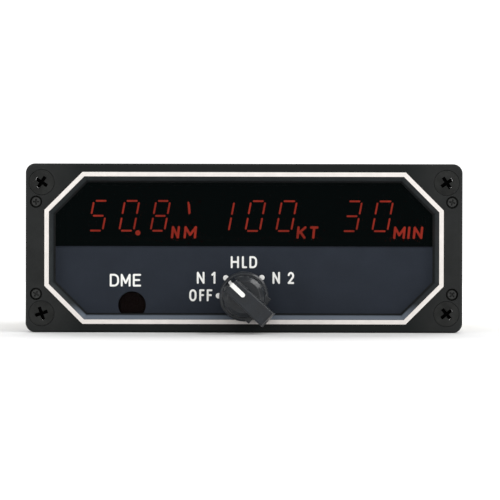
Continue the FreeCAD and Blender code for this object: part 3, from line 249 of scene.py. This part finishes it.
def painted_recess_shade(made, face, inside, bottom):
    """Paints shade into a screw's recess, black and without gloss, from just inside the head's face to its
    bottom. Y values in millimetres.
    """
    nodes, links = made.node_tree.nodes, made.node_tree.links
    shader = nodes["Principled BSDF"]
    along = axis_of(nodes, links, "Y")
    under_face = spread(nodes, links, along, 0.0, 1.0, face * MM, inside * MM)
    above_bottom = spread(nodes, links, along, 1.0, 0.0, bottom * MM, (bottom + 0.5) * MM)
    recess_shade = combine(nodes, links, "MULTIPLY", under_face, above_bottom)
    blend_base(made, recess_shade, (0.002, 0.002, 0.002))
    gloss = spread(nodes, links, recess_shade, shader.inputs["Specular IOR Level"].default_value, 0.0, 0.0, 1.0)
    links.new(gloss, shader.inputs["Specular IOR Level"])
    return made


def soft_edged(made, radius):
    """Rounds a finish's sharp edges in the light only, by radius millimetres."""
    nodes, links = made.node_tree.nodes, made.node_tree.links
    rounded = nodes.new("ShaderNodeBevel")
    rounded.samples = 6
    rounded.inputs["Radius"].default_value = radius * MM
    for node in list(nodes):
        if node.bl_idname == "ShaderNodeBump" and not node.inputs["Normal"].is_linked:
            links.new(rounded.outputs["Normal"], node.inputs["Normal"])
    return made


# Painted shade: the colour the sloping wall darkens to towards its foot.
SHADE = (0.003, 0.004, 0.005)


def slope_with_painted_light(name, dark, light, low, high, mouth, foot):
    """The sloping wall's slate finish with painted light and shade: painted light below Z = low, dark above
    Z = high, and painted shade deepening from Y = mouth to Y = foot. Millimetres."""
    made = surface(name, dark, 0.5, gloss=0.15, vary=0.12, patch=3, grain=0.2, depth=0.008)
    nodes, links = made.node_tree.nodes, made.node_tree.links
    lower = spread(nodes, links, axis_of(nodes, links, "Z"), 0.0, 1.0, high * MM, low * MM)
    blend_base(made, lower, light)
    deep_shade = spread(nodes, links, axis_of(nodes, links, "Y"), 0.0, 0.9, mouth * MM, foot * MM)
    blend_base(made, deep_shade, SHADE)
    return made


def painted_shade_bands(made, color, start, end, corner):
    """Paints shade on a finish above and below the window, darkening it: not at all within start millimetres
    of mid-height, and fully beyond end. The corners, beyond corner millimetres to either side, keep their
    tone."""
    fade = 5
    nodes, links = made.node_tree.nodes, made.node_tree.links
    away = combine(nodes, links, "ABSOLUTE", axis_of(nodes, links, "Z"))
    across = combine(nodes, links, "ABSOLUTE", axis_of(nodes, links, "X"))
    band = spread(nodes, links, away, 0.0, 1.0, start * MM, end * MM)
    middle = spread(nodes, links, across, 1.0, 0.0, (corner - fade) * MM, corner * MM)
    blend_base(made, combine(nodes, links, "MULTIPLY", band, middle), color)
    return made


SURFACES = {
    "plate_black": dict(color=(0.014, 0.0145, 0.016), rough=0.45, vary=0.2, patch=4, grain=0.2, depth=0.012),
    "gasket_rubber": dict(color=(0.02, 0.02, 0.02), rough=0.85, patch=1.5, grain=0.1),
    "faceplate_slate": dict(color=(0.0185, 0.023, 0.032), rough=0.6, gloss=0.1, vary=0.08, patch=6,
                            grain=0.25, depth=0.012),
    "small_screw": dict(color=(0.02, 0.021, 0.02), rough=0.5, metal=0.3, grain=0.08),
    "set_screw": dict(color=(0.25, 0.25, 0.26), rough=0.35, metal=1, grain=0.06),
    "shaft_steel": dict(color=(0.55, 0.55, 0.56), rough=0.3, metal=1, grain=0.08, stretch=(1, 8, 1)),
    "rotor_nylon": dict(color=(0.62, 0.58, 0.48), rough=0.5, vary=0.08, grain=0.2),
    "contact_brass": dict(color=(0.75, 0.52, 0.2), rough=0.28, metal=1, grain=0.08),
    "switch_plastic": dict(color=(0.02, 0.035, 0.09), rough=0.4, grain=0.2),
    "bushing_brass": dict(color=(0.66, 0.60, 0.44), rough=0.3, metal=1, stretch=(1, 6, 1), grain=0.1),
    "zinc_steel": dict(color=(0.56, 0.57, 0.57), rough=0.32, metal=1, vary=0.12, second=(0.66, 0.62, 0.5),
                       patch=1.2, grain=0.1),
    "spring_steel": dict(color=(0.4, 0.4, 0.4), rough=0.3, metal=1, grain=0.05),
    "photocell_ceramic": dict(color=(0.05, 0.022, 0.016), rough=0.4, gloss=0.2, vary=0.5, patch=0.8,
                              stretch=(1, 1, 4)),
    "seal_frit": dict(color=(0.05, 0.045, 0.04), rough=0.25, grain=0.3, depth=0.03),
    "display_ceramic": dict(color=(0.012, 0.018, 0.019), rough=0.7, gloss=0.0, patch=2, depth=0),
    "tinned_metal": dict(color=(0.66, 0.65, 0.62), rough=0.3, metal=1, grain=0.12),
    "pad_foam": dict(color=(0.03, 0.03, 0.03), rough=0.95, grain=0.3, depth=0.08),
    "chip_black": dict(color=(0.02, 0.02, 0.021), rough=0.55, grain=0.15, depth=0.015),
    "chip_ceramic": dict(color=(0.2, 0.185, 0.17), rough=0.5, grain=0.2, depth=0.02),
    "header_black": dict(color=(0.02, 0.02, 0.02), rough=0.4, grain=0.25),
    "core_ferrite": dict(color=(0.05, 0.05, 0.05), rough=0.6, grain=0.2, depth=0.03),
    "winding_tape": dict(color=(0.7, 0.5, 0.05), rough=0.3, stretch=(0.2, 1, 1), grain=0.4, depth=0.03),
    "capacitor_sleeve": dict(color=(0.02, 0.04, 0.2), rough=0.3, vary=0.1, coat=0.3),
    "rail_aluminium": dict(color=(0.42, 0.4, 0.33), rough=0.42, metal=1, vary=0.06, second=(0.45, 0.39, 0.26),
                           patch=6, grain=0.3, stretch=(1, 0.08, 1)),
    "case_aluminium": dict(color=(0.4, 0.38, 0.31), rough=0.45, metal=1, vary=0.06,
                           second=(0.43, 0.375, 0.25), patch=9, grain=0.25, depth=0.012,
                           stretch=(1, 0.06, 1)),
    "data_foil": dict(color=(0.4, 0.4, 0.39), rough=0.3, metal=1, vary=0.05, grain=0.2, stretch=(0.08, 1, 1)),
    "connector_steel": dict(color=(0.6, 0.59, 0.55), rough=0.33, metal=1, vary=0.1, patch=2.5, grain=0.12),
    "insulator_blue": dict(color=(0.012, 0.05, 0.11), rough=0.45, vary=0.15, grain=0.2, depth=0.015),
    "contact_gold": dict(color=(0.85, 0.6, 0.22), rough=0.22, metal=1, vary=0.08, grain=0.08),
}
materials = {slot: surface(slot, **settings) for slot, settings in SURFACES.items()}

# Finishes with more than the common recipe.
bezel = surface("bezel_black", (0.0155, 0.0165, 0.0162), 0.5, gloss=0.12, vary=0.16, patch=4, grain=0.22,
                depth=0.02)
# Painted shade: the bezel darkens in bands above and below the window.
materials["bezel_black"] = painted_shade_bands(bezel, (0.0075, 0.0092, 0.009), 8, 14.5, 36)
knob = surface("knob_black", (0.0035, 0.006, 0.0095), 0.34, gloss=0.4, vary=0.35, patch=2.5, grain=0.16,
               depth=0.008, coat=0.25)
materials["knob_black"] = soft_edged(knob, 0.25)
screw = threaded("screw_black", (0.03, 0.031, 0.03), 0.4, 0.635)
# Painted shade in the mounting screws' recesses.
materials["screw_black"] = painted_recess_shade(soft_edged(screw, 0.12), -6.1, -6.0, -3.0)
# The window's faint sheen is a painted reflection, given as emission.
materials["window_glass"] = dark_filter("window_glass", 0.74, 0.03, painted_sheen=(0.0022, 0.0034, 0.0034))
materials["display_glass"] = dark_filter("display_glass", 0.1, 0.03)
materials["filter_red"] = glass("filter_red", (0.004, 0.002, 0.0018), 0.85, 0.25, 0.03)
materials["lamp_glass"] = glass("lamp_glass", (0.7, 0.68, 0.6), 0.35, 0.04)
materials["board_green"] = laminate("board_green")

# Finishes of the new pieces.
PAINT = dict(rough=0.55, gloss=0.2, patch=1.5, grain=0.1, depth=0.006)
materials["white_paint"] = surface("white_paint", (0.86, 0.86, 0.83), vary=0.03, **PAINT)
materials["line_paint"] = surface("line_paint", (0.75, 0.71, 0.675), vary=0.04, **PAINT)
# Painted light on the lower sloping wall, and painted shade above it and deeper towards its foot.
slope_dark, slope_painted_light = (0.036, 0.041, 0.043), (0.14, 0.165, 0.2)
materials["slope_painted_shading"] = slope_with_painted_light("slope_painted_shading", slope_dark, slope_painted_light, -12.6, -10.5, -4.9, -4.4)
materials["segment_red"] = glow("segment_red", (0.98, 0.08, 0.045), 3.8)

for part in frame["record"]["subparts"]:
    node = frame["nodes"][part["node"]]
    node.data.materials.clear()
    node.data.materials.append(materials[part["material_slot"]])
    for polygon in node.data.polygons:
        polygon.material_index = 0


# ---------------------------------------------------------------- strokes: legends, segments and lines


def new_object(name, mesh, material, body):
    """Adds a new piece in its finish, riding on its body."""
    made = bpy.data.objects.new(name, mesh)
    bpy.context.scene.collection.objects.link(made)
    mesh.materials.clear()
    mesh.materials.append(materials[material])
    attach(made, body)


def finished_mesh(name, shape):
    """Turns a bmesh into a mesh with its normals pointing outwards."""
    mesh = bpy.data.meshes.new(name)
    bmesh.ops.recalc_face_normals(shape, faces=shape.faces)
    shape.to_mesh(mesh)
    shape.free()
    return mesh


def capsule(start, end, width, steps=6):
    """The outline of a round-ended stroke between two points."""
    along = Vector(end) - Vector(start)
    heading = math.atan2(along.y, along.x)
    outline = []
    for (x, z), first in ((end, heading - math.pi / 2), (start, heading + math.pi / 2)):
        for i in range(steps + 1):
            turn = first + math.pi * i / steps
            outline.append((x + width / 2 * math.cos(turn), z + width / 2 * math.sin(turn)))
    return outline


STAGGER = 0.004
STAGGER_STEPS = 5
PAINT_HEIGHT = 0.02


def stroke_mesh(name, strokes, width, level):
    """Strokes of flat paint on the plane Y = level, raised towards -Y, with round ends and joints.

    Each stroke is a list of (x, z) points in millimetres. Its pieces are raised by slightly different
    amounts, so that two that overlap don't end in one plane.
    """
    shape = bmesh.new()
    pieces = [ends for points in strokes for ends in zip(points, points[1:])]
    for index, (start, end) in enumerate(pieces):
        outline = capsule(start, end, width)
        top = level - PAINT_HEIGHT - STAGGER * (index % STAGGER_STEPS)
        back = [shape.verts.new((x * MM, level * MM, z * MM)) for x, z in outline]
        front = [shape.verts.new((x * MM, top * MM, z * MM)) for x, z in outline]
        shape.faces.new(front)
        shape.faces.new(back[::-1])
        for i in range(len(outline)):
            j = (i + 1) % len(outline)
            shape.faces.new((back[i], back[j], front[j], front[i]))
    return finished_mesh(name, shape)


def arc(cx, cz, rx, rz, start, end, steps=8):
    """Points along part of an ellipse, from one angle to another in degrees."""
    turns = (math.radians(start + (end - start) * i / steps) for i in range(steps + 1))
    return [(cx + rx * math.cos(a), cz + rz * math.sin(a)) for a in turns]


# Letters in a box 1 wide and 1 high, as strokes.
LETTERS = {
    "D": [[(0, 0), (0, 1)] + arc(0.45, 0.62, 0.55, 0.38, 90, 0)
          + arc(0.45, 0.38, 0.55, 0.38, 0, -90) + [(0, 0)]],
    "E": [[(1, 1), (0, 1), (0, 0), (1, 0)], [(0, 0.52), (0.85, 0.52)]],
    "F": [[(1, 1), (0, 1), (0, 0)], [(0, 0.52), (0.85, 0.52)]],
    "H": [[(0, 0), (0, 1)], [(1, 0), (1, 1)], [(0, 0.52), (1, 0.52)]],
    "I": [[(0.5, 0), (0.5, 1)]],
    "K": [[(0, 0), (0, 1)], [(1, 1), (0, 0.38)], [(0.32, 0.58), (1, 0)]],
    "L": [[(0, 1), (0, 0), (1, 0)]],
    "M": [[(0, 0), (0, 1), (0.5, 0.25), (1, 1), (1, 0)]],
    "N": [[(0, 0), (0, 1), (1, 0), (1, 1)]],
    "O": [arc(0.5, 0.66, 0.5, 0.34, 180, 0) + arc(0.5, 0.34, 0.5, 0.34, 0, -180) + [(0, 0.66)]],
    "T": [[(0, 1), (1, 1)], [(0.5, 1), (0.5, 0)]],
    "1": [[(0, 0.8), (1, 1), (1, 0)]],
    "2": [arc(0.5, 0.7, 0.5, 0.3, 165, -25) + [(0, 0), (1, 0)]],
}


def lettering(spans, foot, height):
    """Strokes for letters, each given with the X values it is set between."""
    strokes = []
    for letter, left, right in spans:
        for points in LETTERS[letter]:
            strokes.append([(left + u * (right - left), foot + v * height) for u, v in points])
    return strokes


# Which of the seven segments each digit lights. From a to g: top, upper right, lower right, foot, lower
# left, upper left, middle.
DIGITS = {"0": "abcdef", "1": "bc", "3": "abcdg", "5": "acdfg", "8": "abcdefg"}


def digit_strokes(digit, left, right, foot, height):
    """Seven-segment strokes with small gaps where segments meet; slanted later."""
    middle, top = foot + height / 2, foot + height
    gap, side_gap, middle_gap = 0.42, 0.5, 0.52
    segments = {
        "a": [(left + side_gap, top), (right - side_gap, top)],
        "b": [(right, top - gap), (right, middle + middle_gap)],
        "c": [(right, middle - middle_gap), (right, foot + gap)],
        "d": [(right - side_gap, foot), (left + side_gap, foot)],
        "e": [(left, foot + gap), (left, middle - middle_gap)],
        "f": [(left, middle + middle_gap), (left, top - gap)],
        "g": [(left + side_gap, middle), (right - side_gap, middle)],
    }
    return [segments[key] for key in DIGITS[digit]]


def shift(strokes, slant, base):
    """Leans strokes to the right above a base height."""
    return [[(x + slant * (z - base), z) for x, z in points] for points in strokes]


# ---------------------------------------------------------------- display


SEGMENT_LEVEL = -1.24
SEGMENT_WIDTH = 0.34
DIGIT_SLANT = 0.19
DIGIT_FOOT, DIGIT_HEIGHT = 3.25, 5.7
DIGIT_SPANS = (("5", -29.82, -27.1), ("0", -23.9, -21.15), ("8", -17.91, -15.25), ("0", 0.24, 2.98),
               ("0", 6.13, 9.0), ("3", 18.72, 21.46), ("0", 24.5, 27.4))
ONE_X = -2.96
ONE = [[(ONE_X, 3.55), (ONE_X, 5.65)], [(ONE_X, 6.5), (ONE_X, 8.5)]]
TICK = [[(-10.68, 8.65), (-10.52, 6.6)], [(-10.54, 8.3), (-10.42, 6.7)]]
digits = []
for digit, left, right in DIGIT_SPANS:
    digits += shift(digit_strokes(digit, left, right, DIGIT_FOOT, DIGIT_HEIGHT), DIGIT_SLANT, DIGIT_FOOT)
digits += shift(ONE, DIGIT_SLANT, DIGIT_FOOT) + TICK
digit_mesh = stroke_mesh("digit_segments", digits, SEGMENT_WIDTH, SEGMENT_LEVEL)
new_object("digit_segments", digit_mesh, "segment_red", "indicator")

UNIT_WIDTH = 0.46
UNIT_SLANT, UNIT_SLANT_BASE = 0.1, 2.8
UNIT_FOOT, UNIT_HEIGHT = 2.0, 1.93
UNIT_SPANS = (("N", -13.72, -12.6), ("M", -11.3, -9.35), ("K", 10.3, 11.6), ("T", 12.7, 13.9),
              ("M", 28.8, 30.6), ("I", 31, 32), ("N", 32.55, 33.95))
units = shift(lettering(UNIT_SPANS, UNIT_FOOT, UNIT_HEIGHT), UNIT_SLANT, UNIT_SLANT_BASE)
unit_mesh = stroke_mesh("unit_segments", units, UNIT_WIDTH, SEGMENT_LEVEL)
new_object("unit_segments", unit_mesh, "segment_red", "indicator")


# ---------------------------------------------------------------- legends, border line and index line


LEGEND_LEVEL = -3.8
LEGEND_WIDTH = 0.37
LEGEND_HEIGHT, NAME_HEIGHT = 1.92, 2.05
HOLD_SPANS = (("H", -2.35, -1.15), ("L", -0.22, 0.4), ("D", 1.2, 2.3))
N_SPANS = (("N", -8.81, -7.71), ("1", -6.05, -5.63), ("N", 5.61, 6.67), ("2", 8.5, 9.36))
OFF_SPANS = (("O", -10.24, -9.23), ("F", -8.34, -7.7), ("F", -6.92, -6.2))
DME_SPANS = (("D", -25.4, -24.0), ("M", -23.3, -21.8), ("E", -21.0, -19.8))
legends = lettering(HOLD_SPANS, -3.65, LEGEND_HEIGHT)
legends += lettering(N_SPANS, -6.64, LEGEND_HEIGHT)
legends += lettering(OFF_SPANS, -9.98, LEGEND_HEIGHT)
legends += lettering(DME_SPANS, -7.2, NAME_HEIGHT)
legend_mesh = stroke_mesh("legends", legends, LEGEND_WIDTH, LEGEND_LEVEL)
new_object("legends", legend_mesh, "white_paint", "indicator")


def disc_mesh(name, centres, radius, level, height):
    """Low domed dots on a plane across Y."""
    mesh = bpy.data.meshes.new(name)
    shape = bmesh.new()
    for x, z in centres:
        spin = Matrix.Translation((x * MM, level * MM, z * MM)) @ Matrix.Rotation(math.radians(90), 4, "X")
        dome = spin @ Matrix.Diagonal((1, 1, height / radius, 1))
        bmesh.ops.create_uvsphere(shape, u_segments=24, v_segments=12, radius=radius * MM, matrix=dome)
    shape.to_mesh(mesh)
    shape.free()
    for polygon in mesh.polygons:
        polygon.use_smooth = True
    return mesh


SWITCH_Z = -9.1
DOT_CIRCLE = 4.85
DOT_TURNS = (180, 135.5, 45.5)
DOT_HEIGHT = 0.03
dots = []
for turn in map(math.radians, DOT_TURNS):
    dots.append((DOT_CIRCLE * math.cos(turn), SWITCH_Z + DOT_CIRCLE * math.sin(turn)))
dot_mesh = disc_mesh("legend_dots", dots, 0.53, LEGEND_LEVEL, DOT_HEIGHT)
new_object("legend_dots", dot_mesh, "white_paint", "indicator")
point = disc_mesh("decimal_point", [(-20.33, 2.84)], 0.5, SEGMENT_LEVEL, DOT_HEIGHT)
new_object("decimal_point", point, "segment_red", "indicator")


LEG_SHRINK = 0.5858  # 2 less the root of 2: what an octagon's corner legs lose for each unit of inset


def octagon(half_width, half_height, leg, inset=0):
    """A rectangle with its corners cut off by leg along each side, drawn in on every side by inset."""
    right, top, leg = half_width - inset, half_height - inset, leg - inset * LEG_SHRINK
    return [(right, leg - top), (right, top - leg), (right - leg, top), (leg - right, top),
            (-right, top - leg), (-right, leg - top), (leg - right, -top), (right - leg, -top)]


def ring_mesh(name, outer, inner, back, front):
    """A band between two outlines with the same corners, from one Y to another. Millimetres."""
    shape = bmesh.new()
    count = len(outer)
    loops = [
        [shape.verts.new((x * MM, y * MM, z * MM)) for x, z in outline]
        for outline, y in ((outer, back), (outer, front), (inner, front), (inner, back))
    ]
    for i in range(count):
        j = (i + 1) % count
        for near, far in zip(loops, loops[1:] + loops[:1]):
            shape.faces.new((near[i], near[j], far[j], far[i]))
    return finished_mesh(name, shape)


BORDER = (37.885, 14.415, 7.2)
BORDER_WIDTH = 0.83
BORDER_BACK, BORDER_FRONT = -6.25, -6.32
border_outer, border_inner = octagon(*BORDER), octagon(*BORDER, BORDER_WIDTH)
border = ring_mesh("border_line", border_outer, border_inner, BORDER_BACK, BORDER_FRONT)
new_object("border_line", border, "line_paint", "indicator")


def funnel_mesh(name, mouth, foot, mouth_y, foot_y, thick):
    """A thin sheet that lines the sloping wall between two outlines with the same corners."""
    shape = bmesh.new()
    rows = [
        [shape.verts.new((x * MM, y * MM, z * MM)) for x, z in outline]
        for outline, y in ((mouth, mouth_y), (foot, foot_y), (foot, foot_y + thick), (mouth, mouth_y + thick))
    ]
    count = len(mouth)
    for near, far in zip(rows, rows[1:] + rows[:1]):
        for i in range(count):
            j = (i + 1) % count
            shape.faces.new((near[i], near[j], far[j], far[i]))
    return finished_mesh(name, shape)


# A thin sheet over the bezel's sloping wall, carrying the wall's painted light and shade.
OPENING = (37.88, 14.41, 7.2)
LINER_MOUTH_INSET, LINER_FOOT_INSET = 0.87, 1.72
LINER_MOUTH_Y, LINER_FOOT_Y = -6.19, -4.41
LINER_THICKNESS = 0.02
mouth, foot = octagon(*OPENING, LINER_MOUTH_INSET), octagon(*OPENING, LINER_FOOT_INSET)
shade_sheet = funnel_mesh("slope_shade_sheet", mouth, foot, LINER_MOUTH_Y, LINER_FOOT_Y, LINER_THICKNESS)
new_object("slope_shade_sheet", shade_sheet, "slope_painted_shading", "indicator")


POINTER_TURN = 47
KNOB_TOP = -17.4


def ribbon_mesh(name, path, side, height):
    """A paint line along points (reach, y, half width) on the bar, side millimetres off its middle plane."""
    shape = bmesh.new()
    turn = Matrix.Translation((0, 0, SWITCH_Z * MM)) @ Matrix.Rotation(math.radians(-POINTER_TURN), 4, "Y")
    rows = []
    for reach, y, half in path:
        corners = [(side - half, y), (side - half, y - height), (side + half, y - height), (side + half, y)]
        points = [turn @ Vector((x * MM, level * MM, reach * MM)) for x, level in corners]
        rows.append([shape.verts.new(point) for point in points])
    for near, far in zip(rows, rows[1:]):
        for k in range(4):
            shape.faces.new((near[k], near[(k + 1) % 4], far[(k + 1) % 4], far[k]))
    shape.faces.new(rows[0])
    shape.faces.new(rows[-1])
    return finished_mesh(name, shape)


# The index line: a rounded inner end, the run along the top of the bar, and the turn down over its end.
HALF_LINE = 0.43
LINE_START = 0.05
LINE_LEVEL = KNOB_TOP - 0.01
path = []
for turn in map(math.radians, (8, 30, 55, 90)):
    path.append((LINE_START + HALF_LINE * (1 - math.cos(turn)), LINE_LEVEL, HALF_LINE * math.sin(turn)))
path += [(3.0, LINE_LEVEL, HALF_LINE), (3.2, KNOB_TOP + 0.03, HALF_LINE), (3.35, KNOB_TOP + 0.13, HALF_LINE)]
path += [(3.45, KNOB_TOP + 0.3, 0.34), (3.5, KNOB_TOP + 0.5, 0.3), (4.04, -9.75, 0.3)]
new_object("index_line", ribbon_mesh("index_line", path, 0.22, 0.04), "white_paint", "knob")


# ---------------------------------------------------------------- stage, light and camera


def plane_mesh(name, size, middle):
    """A level square, size metres from its middle to each side."""
    mesh = bpy.data.meshes.new(name)
    shape = bmesh.new()
    bmesh.ops.create_grid(shape, x_segments=4, y_segments=4, size=size, matrix=Matrix.Translation(middle))
    shape.to_mesh(mesh)
    shape.free()
    return mesh


FLOOR_GAP = 0.02 * MM
FLOOR_HALF, FLOOR_Y = 0.75, -0.33
floor_level = cad_box[0][2] - FLOOR_GAP
floor_material = surface("floor_pale", (0.8, 0.8, 0.8), 0.8, gloss=0.1, vary=0.01, patch=40, grain=2,
                         depth=0.01)
floor = bpy.data.objects.new("floor", plane_mesh("floor", FLOOR_HALF, (0, FLOOR_Y, floor_level)))
floor.data.materials.append(floor_material)
bpy.context.scene.collection.objects.link(floor)


def soft_light(name, at, aim, size, power):
    """A softbox of a size in metres, turned from one point towards another, with its power in watts."""
    light = bpy.data.lights.new(name, "AREA")
    light.shape = "RECTANGLE"
    light.size, light.size_y = size
    light.energy = power
    made = bpy.data.objects.new(name, light)
    made.location = at
    made.rotation_euler = (Vector(aim) - Vector(at)).to_track_quat("-Z", "Y").to_euler()
    bpy.context.scene.collection.objects.link(made)


soft_light("top_softbox", (0, 0.6, 0.55), (0, 0.1, 0), (1.4, 0.6), 8.5)
soft_light("front_strip", (0, -0.55, 0.4), (0, 0, 0), (0.9, 0.12), 1.35)
soft_light("edge_strip", (0.42, -0.06, 0.48), (0, 0, 0), (0.12, 0.4), 1.1)
for side in (-1, 1):
    soft_light(f"side_softbox_{side + 1}", (side * 0.7, -0.6, 0.1), (0, 0, 0), (0.3, 0.5), 2.6)

# The world lights the scene with one strength and shows a brighter background to the camera.
WORLD_LIGHT, WORLD_SHOWN = 0.5, 1.2
world = bpy.data.worlds.new("studio")
world.use_nodes = True
sky = world.node_tree.nodes["Background"]
sky.inputs["Color"].default_value = (1, 1, 1, 1)
sky.inputs["Strength"].default_value = WORLD_LIGHT
bright = world.node_tree.nodes.new("ShaderNodeBackground")
bright.inputs["Color"].default_value = (1, 1, 1, 1)
bright.inputs["Strength"].default_value = WORLD_SHOWN
rays = world.node_tree.nodes.new("ShaderNodeLightPath")
choose = world.node_tree.nodes.new("ShaderNodeMixShader")
links = world.node_tree.links
links.new(rays.outputs["Is Camera Ray"], choose.inputs["Fac"])
links.new(sky.outputs["Background"], choose.inputs[1])
links.new(bright.outputs["Background"], choose.inputs[2])
links.new(choose.outputs["Shader"], world.node_tree.nodes["World Output"].inputs["Surface"])
scene = bpy.context.scene
scene.world = world
scene.view_settings.view_transform = "Standard"

FRAME_WIDTH = 94.9 * MM
SENSOR_WIDTH = 36
DISTANCE = 0.6
ELEVATION = math.radians(0.7)
ROLL = math.radians(0.12)
centre = Vector((1.13 * MM, -6.2 * MM, -0.34 * MM))
camera_data = bpy.data.cameras.new("camera")
camera_data.sensor_width = SENSOR_WIDTH
camera_data.lens = SENSOR_WIDTH * DISTANCE / FRAME_WIDTH
camera_data.clip_start = 0.01
camera = bpy.data.objects.new("camera", camera_data)
camera.location = centre + Vector((0, -math.cos(ELEVATION), math.sin(ELEVATION))) * DISTANCE
aim = (centre - camera.location).to_track_quat("-Z", "Y").to_matrix()
camera.rotation_euler = (aim @ Matrix.Rotation(ROLL, 3, "Z")).to_euler()
scene.collection.objects.link(camera)
scene.camera = camera
